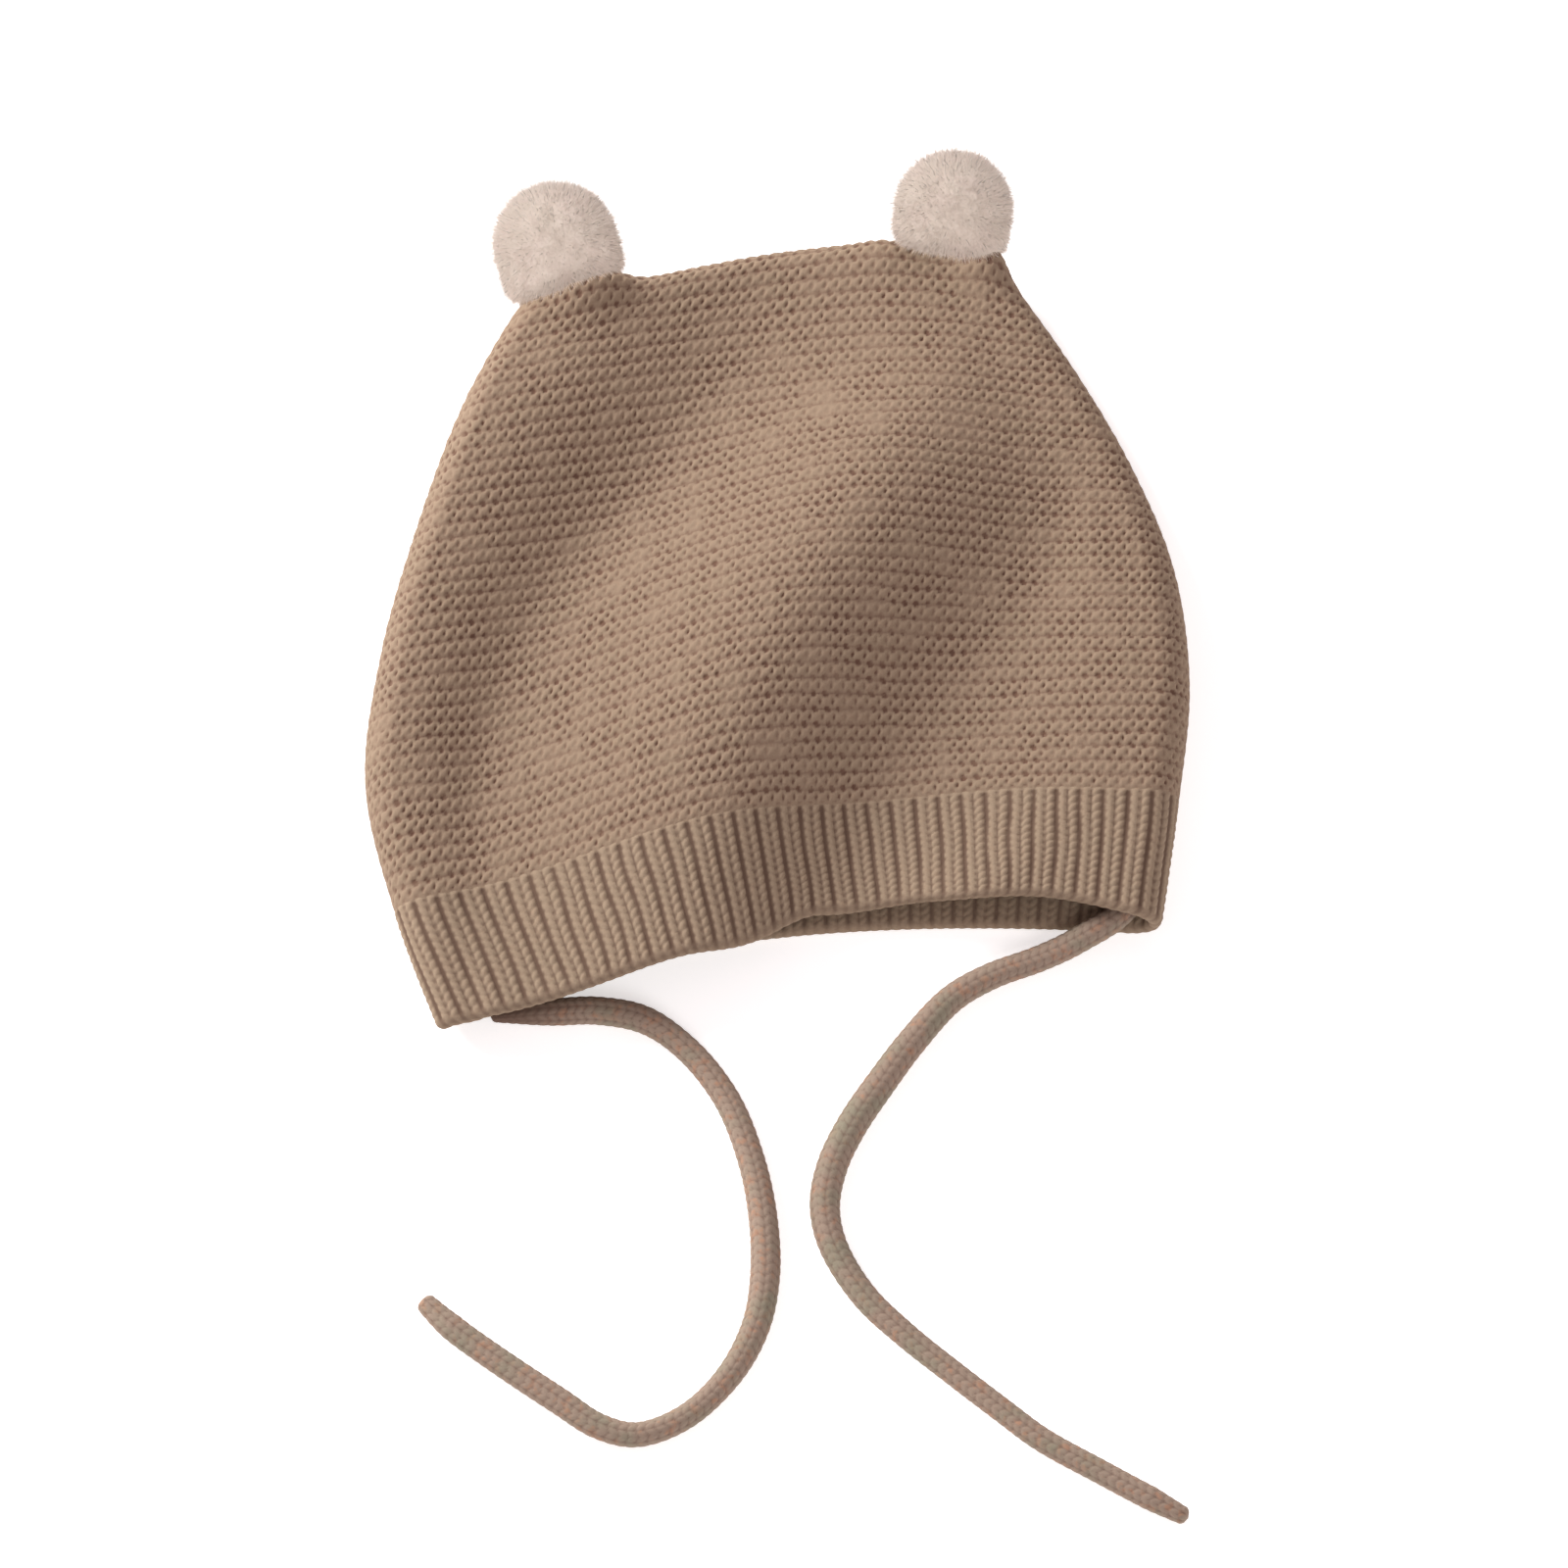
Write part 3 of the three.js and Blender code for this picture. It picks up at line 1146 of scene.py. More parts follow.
@dataclass(frozen=True)
class Crown:
    """The garter-stitch crown: two layers joined by side folds and, at the top, by a rounded fold.

    It is made as rings, each a closed hollow piece: outside, inside and the edges of both ends.

    Attributes:
        form: the bonnet's form.
        stitch: the knit.
        finish: the yarn.
        rings: how many rings it is made as.
        samples: mesh steps in a stitch and in a ridge.
        proud: how far the yarn stands out of the form.
        back_step: how many of the front's steps one step of the back has.
        lining_step: how many of the outside's steps one step of the inside has.
        fold_stretch: how far from a side fold the knit is stretched smoother, in millimetres.
        fold_ease: how much smoother it is on the fold itself.
        level: how proud the yarn is where its relief isn't shown.
        gathers: where the knit is gathered round the ends of the pompoms' yarn.
    """

    form: Form
    stitch: GarterStitch = GarterStitch()
    finish: YarnFinish = GARTER_WOOL
    rings: int = 3
    samples: int = 8
    proud: float = 0.55
    back_step: int = 2
    lining_step: int = 4
    fold_stretch: float = 4.0
    fold_ease: float = 0.7
    level: float = 0.6
    gathers: tuple[Gather, ...] = (
        Gather((-37.0, 82.0), 9.0, (0.0, 1.4, 6.5)),
        Gather((-51.5, 80.0), 6.0, (1.4, 0.4, 1.5), 2.0),
        Gather((-29.0, 82.0), 6.0, (0.3, 1.2, 3.0)),
        Gather((64.5, 78.3), 6.5, (0.9, 2.5, 5.5)),
        Gather((39.5, 85.5), 8.0, (0.0, 0.8, 1.8)),
    )

    # Rectangles on the baking map: each layer's outside and inside, and the two edges of a ring.
    OUTSIDE_MAP: ClassVar[dict[Layer, Rectangle]] = {
        Layer.FRONT: (0.01, 0.44, 0.99, 0.99), Layer.BACK: (0.01, 0.14, 0.99, 0.42)
    }
    INSIDE_MAP: ClassVar[dict[Layer, Rectangle]] = {
        Layer.FRONT: (0.01, 0.08, 0.99, 0.12), Layer.BACK: (0.01, 0.03, 0.99, 0.07)
    }
    LOWER_EDGE_MAP: ClassVar[Rectangle] = (0.01, 0.005, 0.99, 0.010)
    UPPER_EDGE_MAP: ClassVar[Rectangle] = (0.01, 0.015, 0.99, 0.020)

    # Smooth groups.
    OUTSIDE: ClassVar[int] = 0
    INSIDE: ClassVar[int] = 1
    EDGE: ClassVar[int] = 2

    def rows(self) -> tuple[Array, Array]:
        """The mesh's rows, evenly spaced on the knit along a line near the middle of the front.

        Returns:
            Their places up the crown, and the same places counted in ridges.
        """
        line_share, straight_places, fold_places = 0.45, 400, 90
        top = 1 - self.form.top_rounding / self.form.length
        straight = np.linspace(0, top, straight_places)
        quarter = np.linspace(0, math.pi / 2, fold_places)[1:]
        places = np.concatenate([straight, top + (1 - top) * np.sin(quarter)])
        line = self.form.points(Layer.FRONT, np.full((len(places), 1), line_share), places)[:, 0]
        lengths = lengths_along(line)
        ridges = round(lengths[-1] / self.stitch.ridge)
        along = np.linspace(0, ridges, ridges * self.samples + 1)
        return np.interp(along / ridges * lengths[-1], lengths, places), along + 0.5

    def shares(self, layer: Layer, at: Array, across: Array) -> tuple[Array, Array]:
        """Where the stitch places across come on each course.

        Args:
            layer: front or back.
            at: the courses' places.
            across: stitch places, counted from the middle of the course.

        Returns:
            Shares of the width and the stitch places, both held to the side folds.
        """
        share, lengths = self.form.course(layer, at)
        half = lengths[:, -1:] / (2 * self.stitch.width)
        held = np.clip(across[None, :], -half, half)
        found = [
            np.interp((row + h) * self.stitch.width, length, share)
            for row, h, length in zip(held, half, lengths)
        ]
        return np.array(found), held

    def closed(self, numbers: Array, share: Array, folds: Array | None = None) -> Array:
        """Closes a layer's rows at the side folds.

        Args:
            numbers: the layer's vertex numbers.
            share: its shares of the width.
            folds: the numbers of the left and right fold's vertices, or None for the layer's own.

        Returns:
            Vertex numbers, with each row's fold vertex repeated beyond the fold.
        """
        column = np.arange(share.shape[1])
        left = (share <= 0).sum(1)[:, None] - 1
        right = share.shape[1] - (share >= 1).sum(1)[:, None]
        if folds is None:
            folds = np.concatenate([
                np.take_along_axis(numbers, left, 1), np.take_along_axis(numbers, right, 1)
            ], 1)
        made = np.where(column <= left, folds[:, :1], numbers)
        return np.where(column >= right, folds[:, 1:], made)

    def thinned(self, numbers: Array, step: int, folds: Array, share: Array) -> Array:
        """Leaves out vertices by repeating every few rows' and columns' numbers.

        Args:
            numbers: vertex numbers, closed at the folds.
            step: how many rows and columns become one.
            folds: the fold vertices, which all stay.
            share: shares of the width.

        Returns:
            Vertex numbers of the same shape.
        """
        rows, columns = numbers.shape
        row, column = np.arange(rows), np.arange(columns)
        made = numbers[np.ix_(row - row % step, column - column % step)]
        fold_share = share[row - row % step]
        return self.closed(made, fold_share, folds)

    def layer_numbers(
        self, mesher: Mesher, inset: float, proud: dict[Layer, Array], at: Array,
        share: dict[Layer, Array],
    ) -> dict[Layer, Array]:
        """Adds the points of both layers of one face of the knit.

        Args:
            mesher: where the points go.
            inset: the face's depth under the outside.
            proud: how proud the yarn stands on each layer.
            at: the rows' places.
            share: each layer's shares of the width.

        Returns:
            Each layer's vertex numbers; the layers share the side folds and the top row.
        """
        numbers = {}
        for layer in Layer:
            points = self.form.points(layer, share[layer], at, inset)
            numbers[layer] = mesher.add_points(points, proud[layer])
        front = self.closed(numbers[Layer.FRONT], share[Layer.FRONT])
        folds = front[:, [0, -1]]
        back = self.closed(numbers[Layer.BACK], share[Layer.BACK], folds)
        back = self.thinned(back, self.back_step, folds, share[Layer.BACK])
        back[-1] = front[-1]
        return {Layer.FRONT: front, Layer.BACK: back}

    def relief(self, held: Array, along: Array) -> Array:
        """How proud the yarn stands on one layer; towards the side folds it is stretched smoother.

        Args:
            held: stitch places of each row, held to the side folds.
            along: the rows' places in ridges.

        Returns:
            Numbers from 0 to about 1, shaped like the stitch places.
        """
        relief = self.stitch.relief(held, along[:, None])
        from_fold = held.max(1, keepdims=True) - np.abs(held)
        stretch = np.exp(-((from_fold * self.stitch.width / self.fold_stretch) ** 2))
        return eased(relief, self.level, self.fold_ease * stretch)

    def lining(self, inside: dict[Layer, Array], share: dict[Layer, Array]) -> dict[Layer, Array]:
        """Leaves out most of the inside's vertices, as little of it shows.

        Args:
            inside: vertex numbers of each layer's inside.
            share: each layer's shares of the width.

        Returns:
            Vertex numbers of the same shape; the layers still share the folds and the top row.
        """
        front = inside[Layer.FRONT]
        made = {}
        for layer in Layer:
            made[layer] = self.thinned(
                inside[layer], self.lining_step, front[:, [0, -1]], share[layer]
            )
            made[layer][-1] = front[-1]
        return made

    def add_rings(
        self, mesher: Mesher, outside: dict[Layer, Array], inside: dict[Layer, Array]
    ) -> None:
        """Adds the faces of every ring.

        Args:
            mesher: where the faces go.
            outside: vertex numbers of each layer's outside.
            inside: vertex numbers of each layer's inside.
        """
        rows = outside[Layer.FRONT].shape[0] - 1
        ridges = rows / self.samples
        cuts = [round(ridges * k / self.rings) * self.samples for k in range(self.rings)]
        cuts.append(rows)
        for part, (start, end) in enumerate(zip(cuts, cuts[1:])):
            for layer in Layer:
                under = layer is Layer.BACK
                outer = outside[layer][start : end + 1]
                inner = inside[layer][start : end + 1]
                mesher.add_patch(outer, self.OUTSIDE_MAP[layer], under, self.OUTSIDE, part)
                mesher.add_patch(inner, self.INSIDE_MAP[layer], not under, self.INSIDE, part)
                lower = np.stack([outer[0], inner[0]])
                mesher.add_patch(lower, self.LOWER_EDGE_MAP, not under, self.EDGE, part)
                if end < rows:
                    upper = np.stack([outer[-1], inner[-1]])
                    mesher.add_patch(upper, self.UPPER_EDGE_MAP, under, self.EDGE, part)

    def build(self) -> list[bpy.types.Object]:
        """Makes the crown.

        Returns:
            Its rings, from the band up.
        """
        mesher = Mesher()
        at, along = self.rows()
        reach = max(self.form.course(layer, at)[1].max() for layer in Layer)
        stitches = math.ceil(reach / (2 * self.stitch.width)) + 1
        across = np.linspace(-stitches, stitches, 2 * stitches * self.samples + 1)
        share, proud = {}, {}
        for layer in Layer:
            share[layer], held = self.shares(layer, at, across)
            proud[layer] = self.relief(held, along)
        # The relief also colours the gaps darker, as painted shade, through the proud attribute.
        outside = self.layer_numbers(mesher, 0.0, proud, at, share)
        even = {layer: np.full_like(proud[layer], self.level) for layer in Layer}
        inside = self.layer_numbers(mesher, self.form.wall, even, at, share)
        self.add_rings(mesher, outside, self.lining(inside, share))
        relief = np.concatenate([proud[layer].reshape(-1) for layer in Layer])
        mesher.move(np.arange(len(relief)), self.proud - self.stitch.depth * (1 - relief))
        points = mesher.points[0]
        mesher.points = [points + sum(gather.offsets(points) for gather in self.gathers)]
        names = tuple(f"crown_ring_{k + 1}" for k in range(self.rings))
        pieces = mesher.finish(names, own_normals=True)
        material = self.finish.material()
        for piece in pieces:
            piece.data.materials.append(material)
            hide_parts("crown")
        return pieces


# ---------------------------------------------------------------- band


@dataclass(frozen=True)
class Band:
    """The ribbed band: one closed ring of rib, with columns outside and, half a rib on, inside.

    Attributes:
        form: the bonnet's form.
        stitch: the rib.
        finish: the yarn.
        ribs: columns round the band.
        phase: where the first column is, in columns from the left fold.
        samples: mesh steps in a column, and in a row of the outside.
        proud: how far the yarn stands out of the form.
        fine: how much of the inside next to the hem has closely spaced rows.
        fine_step: spacing of those rows, in steps of the outside's.
        coarse_step: spacing of the rows further in, in millimetres.
        turn_steps: mesh steps round the hem.
        hem_soft: how far up from the hem the relief is shallower, in millimetres.
        hem_ease: how much shallower it is on the hem itself.
        hem_level: how proud the yarn is there.
        inside_painted_light: painted light, how much lighter the inside's gaps are coloured than
            the outside's.
        curls: where the front hem curls away from its plain arch.
    """

    form: Form
    stitch: RibStitch = RibStitch()
    finish: YarnFinish = RIB_WOOL
    ribs: int = 70
    phase: float = 0.05
    samples: tuple[int, int] = (10, 6)
    proud: float = 0.5
    fine: float = 13.0
    fine_step: float = 1.2
    coarse_step: float = 1.6
    turn_steps: int = 8
    hem_soft: float = 2.2
    hem_ease: float = 0.75
    hem_level: float = 0.5
    inside_painted_light: float = 0.2
    curls: tuple[Gather, ...] = (
        Gather((3.0, -89.0), 10.0, (0.0, 2.2, 0.8), 7.0),
        Gather((41.0, -85.0), 14.0, (0.0, -1.7, 0.0), 7.0),
        Gather((-16.0, -92.5), 12.0, (0.0, -2.0, 0.0), 7.0),
    )

    RIB_MAP: ClassVar[Rectangle] = (0.01, 0.02, 0.99, 0.99)
    TOP_EDGE_MAP: ClassVar[Rectangle] = (0.01, 0.005, 0.99, 0.015)

    def profile(self) -> Array:
        """The band's section, from its top edge down inside, round the hem and up outside.

        Returns:
            For each row of mesh: height up the knit and depth under the outside, in millimetres.
        """
        radius = self.form.wall / 2
        low = self.form.hem * self.form.length + radius
        high = 0.0
        step = self.stitch.row / self.samples[1]
        outer = np.arange(low, high, step)
        outer[-1] = high
        inner_low = np.arange(low, low + self.fine, step * self.fine_step)
        inner = np.concatenate([inner_low, np.arange(inner_low[-1], high, self.coarse_step)[1:]])
        inner[-1] = high
        turn = np.linspace(0, math.pi, self.turn_steps + 1)[1:-1]
        rows = [(y, self.form.wall) for y in inner[::-1]]
        rows += [(low - radius * math.sin(t), radius + radius * math.cos(t)) for t in turn]
        rows += [(y, 0.0) for y in outer]
        return np.array(rows)

    def ring(self, at: Array, inset: Array, turns: Array) -> Array:
        """Points round the band.

        Args:
            at: each row's place.
            inset: each row's depth.
            turns: shares of the whole way round, from the left fold over the front.

        Returns:
            Points, rows by turns by 3.
        """
        share, front = self.form.course(Layer.FRONT, at, inset)
        _, back = self.form.course(Layer.BACK, at, inset)
        whole = front[:, -1:] + back[:, -1:]
        way = whole * turns
        rest = whole - way
        shares = {
            Layer.FRONT: np.array([np.interp(w, f, share) for w, f in zip(way, front)]),
            Layer.BACK: np.array([np.interp(r, b, share) for r, b in zip(rest, back)]),
        }
        made = np.zeros((len(at), len(turns), 3))
        for layer in Layer:
            points = self.form.points(layer, shares[layer], at, inset)
            chosen = (way <= front[:, -1:]) == (layer is Layer.FRONT)
            made[chosen] = points[chosen]
        return made

    def relief(self, profile: Array, across: Array) -> Array:
        """How proud the yarn stands: ribs outside and, half a rib on, inside, softer at the hem.

        Args:
            profile: rows of height and depth, as profile() gives them.
            across: places round the band in columns.

        Returns:
            0 in the grooves to about 1 on top of the yarn, profile rows by places.
        """
        along = (profile[:, 0] / self.stitch.row)[:, None]
        inward = (profile[:, 1] / self.form.wall)[:, None]
        outer = self.stitch.relief(across + self.phase, along)
        inner = self.stitch.relief(across + self.phase + 0.5, along)
        from_hem = (profile[:, 0] - profile[:, 0].min())[:, None]
        at_hem = np.clip(1 - from_hem / self.hem_soft, 0, 1) ** 0.5
        relief = outer * (1 - inward) + inner * inward
        return eased(relief, self.hem_level, self.hem_ease * at_hem)

    def build(self) -> bpy.types.Object:
        """Makes the band.

        Returns:
            The band as one piece.
        """
        mesher = Mesher()
        profile = self.profile()
        at, inset = profile[:, 0] / self.form.length, profile[:, 1]
        steps = self.ribs * self.samples[0]
        turns = np.arange(steps) / steps
        points = self.ring(at, inset, turns).reshape(-1, 3)
        for curl in self.curls:
            points = points + curl.offsets(points)
        relief = self.relief(profile, turns[None, :] * self.ribs)
        inward = (inset / self.form.wall)[:, None]
        # Painted light and shade: the colour is darker in the grooves, and the inside's gaps are
        # painted lighter.
        shade = eased(relief, 1.0, self.inside_painted_light * inward)
        numbers = mesher.add_points(points.reshape(len(at), steps, 3), shade)
        around = np.concatenate([numbers, numbers[:, :1]], 1)
        mesher.add_patch(around, self.RIB_MAP)
        mesher.add_patch(around[[-1, 0]], self.TOP_EDGE_MAP, group=1)
        mesher.move(numbers, self.proud - self.stitch.depth * (1 - relief))
        piece = mesher.finish(("band",), own_normals=True)[0]
        piece.data.materials.append(self.finish.material())
        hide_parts("ribbed_band")
        return piece


# ---------------------------------------------------------------- pompoms


@dataclass(frozen=True)
class Pompom:
    """A dense plush ball pressed against the top fold.

    Attributes:
        name: the piece's name.
        node: the solid that it takes the place of.
        radius: of the ball.
        middle: its middle in plan.
        towards: the direction of the fold from its middle.
        reach: distance from its middle to the flat that the fold presses into it.
        finish: the plush.
        pile: length of the pile's loose ends.
        halo: how far the pile stands out of the ball.
        overlap: how far the pile closes round the fold.
        strands: how many loose ends there are.
        seed: which set of loose ends.
        softness: how far it is shaded as if it faced up, since light spreads through the pile.
        unevenness: how far its shading strays, since loose ends face all ways.
        droop: how far its loose ends hang towards the floor.
        stray: how far they lean at random.
        tufting: how far tufts stand out, in millimetres.
    """

    name: str
    node: str
    radius: float
    middle: tuple[float, float]
    towards: Point
    reach: float
    finish: PlushFinish = POMPOM_PLUSH
    pile: float = 2.6
    halo: float = 0.8
    overlap: float = 0.9
    strands: int = 60000
    seed: int = 1
    softness: float = 1.2
    unevenness: float = 0.3
    droop: float = 0.8
    stray: float = 0.55
    tufting: float = 0.2

    # How flatly the fold presses the ball, and how much rounder it is at its top and bottom.
    PRESSED_POWER: ClassVar[float] = 6.0
    PRESSED_LESS: ClassVar[float] = 0.6

    # How finely tufts of each size are spaced round the ball, and how many waves make each size.
    TUFT_FINENESS: ClassVar[tuple[int, ...]] = (9, 15, 24, 34)
    TUFT_WAVES: ClassVar[int] = 5

    # How much a loose end leans and how wide half its root is, from least to most, and how far
    # its flat side turns at random.
    LEANS: ClassVar[tuple[float, float]] = (0.15, 1.3)
    HALF_WIDTHS: ClassVar[tuple[float, float]] = (0.09, 0.15)
    TWIST: ClassVar[float] = 0.1

    # Its least length, how much longer it can be, and how rare long ones are.
    SHORTEST: ClassVar[float] = 0.75
    LONGER: ClassVar[float] = 0.8
    RARITY: ClassVar[int] = 4

    # Painted shade: how proud the loose ends' roots and tips and the ball under them are coloured,
    # the roots and ball darker as if shaded by the pile, and how much the ball's tufts change that.
    ROOT_PROUD: ClassVar[float] = 0.4
    TIP_PROUD: ClassVar[float] = 1.0
    BALL_PROUD: ClassVar[float] = 0.5
    TUFT_PROUD: ClassVar[float] = 0.25

    def distance(self, way: Array) -> Array:
        """Distance from the middle to the surface in given directions.

        Args:
            way: unit directions.

        Returns:
            Distances in millimetres.
        """
        axis = np.array(self.towards) / np.linalg.norm(self.towards)
        along = np.maximum(way @ axis, 0)
        across = np.sqrt(np.maximum(1 - along**2, 0))
        upright = np.abs((way - along[:, None] * axis)[:, 2]) / np.maximum(across, TINY)
        power = self.PRESSED_POWER * (1 - self.PRESSED_LESS * upright**2)
        radius, reach = self.radius + self.halo, self.reach + self.overlap
        pressed = (along / reach) ** power + (across / radius) ** power
        return np.where(along > 0, pressed ** (-1 / power), radius)

    def tufts(self, way: Array) -> Array:
        """Uneven lie of the pile.

        Args:
            way: unit directions.

        Returns:
            Numbers from -1 to 1 or so.
        """
        random = np.random.default_rng(self.seed)
        usual_length = 1.7  # of three normal numbers taken as a vector
        total = np.zeros(len(way))
        for fineness in self.TUFT_FINENESS:
            for _ in range(self.TUFT_WAVES):
                wave = random.normal(size=3) * fineness / usual_length
                lump = np.sin(way @ wave + random.uniform(0, FULL_TURN))
                total += lump / math.sqrt(fineness)
        return total / 2

    def loose_ends(self, centre: Array, root: Array, random: np.random.Generator) -> Array:
        """Narrow triangles, one for each loose end of the pile.

        Args:
            centre: the ball's middle.
            root: the direction in which each loose end grows from it.
            random: what the loose ends are drawn from.

        Returns:
            Points, loose ends by 3 by 3: two at the root and one at the tip.
        """
        down = root * root[:, 2:] - np.array([0.0, 0.0, 1.0])
        spread = random.uniform(*self.LEANS, self.strands)[:, None]
        strays = self.stray * random.normal(size=root.shape)
        lean = turned(root + spread * (self.droop * down + strays))
        side = turned(np.cross(lean, root) + self.TWIST * random.normal(size=root.shape))
        rare = random.uniform(size=self.strands) ** self.RARITY
        length = self.pile * (self.SHORTEST + self.LONGER * rare) + self.tufting * self.tufts(root)
        half = side * random.uniform(*self.HALF_WIDTHS, self.strands)[:, None]
        base = centre + root * (self.distance(root) - self.pile)[:, None]
        return np.stack([base - half, base + half, base + lean * length[:, None]], 1)

    def mapped(self, corners: Array) -> tuple[Array, Array]:
        """Gives every face a small triangle of its own on the baking map.

        Args:
            corners: vertex numbers of every face.

        Returns:
            The same vertex numbers, and map coordinates, faces by 3 by 2.
        """
        which = np.arange(len(corners))
        across = math.ceil(math.sqrt(len(corners)))
        corner = np.stack([which % across, which // across], -1)[:, None, :]
        spot = np.array([[0.2, 0.2], [0.8, 0.2], [0.2, 0.8]])
        return corners, (corner + spot) / across

    def build(self) -> bpy.types.Object:
        """Makes the pompom: a lumpy ball of wool with loose ends all over.

        Returns:
            The pompom as one piece.
        """
        shape = bmesh.new()
        bmesh.ops.create_icosphere(shape, subdivisions=6, radius=1.0)
        way = turned(np.array([vertex.co for vertex in shape.verts]))
        corners = np.array([[vertex.index for vertex in face.verts] for face in shape.faces])
        shape.free()
        ball = self.distance(way)
        centre = np.array([*self.middle, -(way[:, 2] * ball).min() - self.halo])
        lumps = self.tufts(way)
        out = ball - self.pile / 2 + self.tufting * lumps
        mesher = Mesher()
        mesher.add_points(centre + way * out[:, None], self.BALL_PROUD + self.TUFT_PROUD * lumps)
        random = np.random.default_rng(self.seed)
        root = turned(random.normal(size=(self.strands, 3)))
        proud = np.array([[self.ROOT_PROUD, self.ROOT_PROUD, self.TIP_PROUD]])
        numbers = mesher.add_points(self.loose_ends(centre, root, random), proud)
        mesher.add_faces(*self.mapped(np.concatenate([corners, numbers])), 0, 0)
        facing = np.concatenate([way, np.repeat(root, 3, axis=0)])
        strays = self.unevenness * turned(random.normal(size=facing.shape))
        facing = turned(facing + strays + np.array([0.0, 0.0, self.softness]))
        piece = mesher.finish((self.name,), facing=facing)[0]
        piece.data.materials.append(self.finish.material())
        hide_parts(self.node)
        return piece


# ---------------------------------------------------------------- ties


@dataclass(frozen=True)
class Tie:
    """A round knitted tie lying loose on the surface.

    Attributes:
        name: the piece's name.
        node: the solid that it takes the place of.
        route: points of its middle line from the band to its free end, in metres.
        girth: its radius in millimetres at shares of its length, as it is squeezed and stretched.
        tip: radius at its free end.
        taper: how far from its free end it starts to thin.
        blunt: how far from its ends they start to close.
        sides: mesh steps round it.
        step: mesh step along it.
        evening: over how many mesh steps each way its radius is evened out.
        columns: columns of stitches round it.
        row: height of a stitch.
        slant: how far a stitch's legs slant, in rows.
        depth: how deep the knit's relief is.
        proud: how far the yarn stands out of the form.
        tucked: over how many millimetres from the band its painted shade fades out.
        tuck_shade: how much darker it is painted at the band, as shade under the band's hem.
        finish: the yarn.
    """

    name: str
    node: str
    route: tuple[Point, ...]
    girth: tuple[tuple[float, float], ...]
    tip: float = 2.2
    taper: float = 10.0
    blunt: float = 1.6
    sides: int = 48
    step: float = 0.45
    evening: int = 8
    columns: int = 6
    row: float = 2.4
    slant: float = 0.45
    depth: float = 0.4
    proud: float = 0.3
    tucked: float = 26.0
    tuck_shade: float = 0.0
    finish: YarnFinish = TIE_WOOL

    SOLID_RADIUS: ClassVar[float] = 3.5
    NARROWEST: ClassVar[float] = 0.02  # share of the radius that a closed end keeps
    LENGTHWISE: ClassVar[Wobble] = Wobble(0.12, 31, (0.7, 0.3))

    # How far a leg's yarn reaches within its row and its column, where at 1 it would just meet
    # the next, and the depth and half width of the crease down the middle of a column.
    ROW_REACH: ClassVar[float] = 1.15
    COLUMN_REACH: ClassVar[float] = 1.2
    CREASE: ClassVar[float] = 0.25
    CREASE_WIDTH: ClassVar[float] = 0.15

    def middle_line(self) -> Array:
        """The middle line: a centripetal spline through every point of the route.

        Returns:
            Evenly spaced points in millimetres.
        """
        points = np.array(self.route) / MM
        points = np.concatenate([
            [2 * points[0] - points[1]], points, [2 * points[-1] - points[-2]]
        ])
        steps = np.linalg.norm(np.diff(points, axis=0), axis=1)
        knots = np.concatenate([[0], np.cumsum(np.sqrt(steps))])
        places_between = 40
        fine = []
        for k in range(1, len(points) - 2):
            t0, t1, t2, t3 = knots[k - 1 : k + 3]
            p0, p1, p2, p3 = points[k - 1 : k + 3]
            t = np.linspace(t1, t2, places_between, endpoint=False)[:, None]
            a1 = (t1 - t) / (t1 - t0) * p0 + (t - t0) / (t1 - t0) * p1
            a2 = (t2 - t) / (t2 - t1) * p1 + (t - t1) / (t2 - t1) * p2
            a3 = (t3 - t) / (t3 - t2) * p2 + (t - t2) / (t3 - t2) * p3
            b1 = (t2 - t) / (t2 - t0) * a1 + (t - t0) / (t2 - t0) * a2
            b2 = (t3 - t) / (t3 - t1) * a2 + (t - t1) / (t3 - t1) * a3
            fine.append((t2 - t) / (t2 - t1) * b1 + (t - t1) / (t2 - t1) * b2)
        line = np.concatenate([*fine, points[-2:-1]])
        length = lengths_along(line)
        even = np.linspace(0, length[-1], round(length[-1] / self.step) + 1)
        return np.stack([np.interp(even, length, line[:, axis]) for axis in range(3)], 1)

    def radii(self, run: Array) -> tuple[Array, Array]:
        """The tie's radius before its ends close.

        Args:
            run: each point's place along the tie, in millimetres.

        Returns:
            Its radius without and with the thinning of its free end.
        """
        girth = np.array(self.girth)
        full = np.interp(run / run[-1], girth[:, 0], girth[:, 1])
        width = 2 * self.evening + 1
        window = np.full(width, 1 / width)
        full = np.convolve(np.pad(full, self.evening, mode="edge"), window, "valid")
        return full, self.tip + (full - self.tip) * np.clip((run[-1] - run) / self.taper, 0, 1)

    def relief(self, angle: Array, run: Array) -> Array:
        """How proud the yarn stands.

        Args:
            angle: round the tie.
            run: along the tie, in millimetres.

        Returns:
            0 in the gaps to about 1 on top of the yarn.
        """
        a = angle / FULL_TURN * self.columns
        b = run / self.row + self.LENGTHWISE.at(a, run)
        x = np.abs(a - np.round(a)) * 2
        within = b - self.slant * x
        leg = half_round(np.abs(within - np.round(within)) * 2, self.ROW_REACH)
        crease = 1 - self.CREASE * np.exp(-((x / self.CREASE_WIDTH) ** 2))
        return leg * half_round(x, self.COLUMN_REACH) * crease

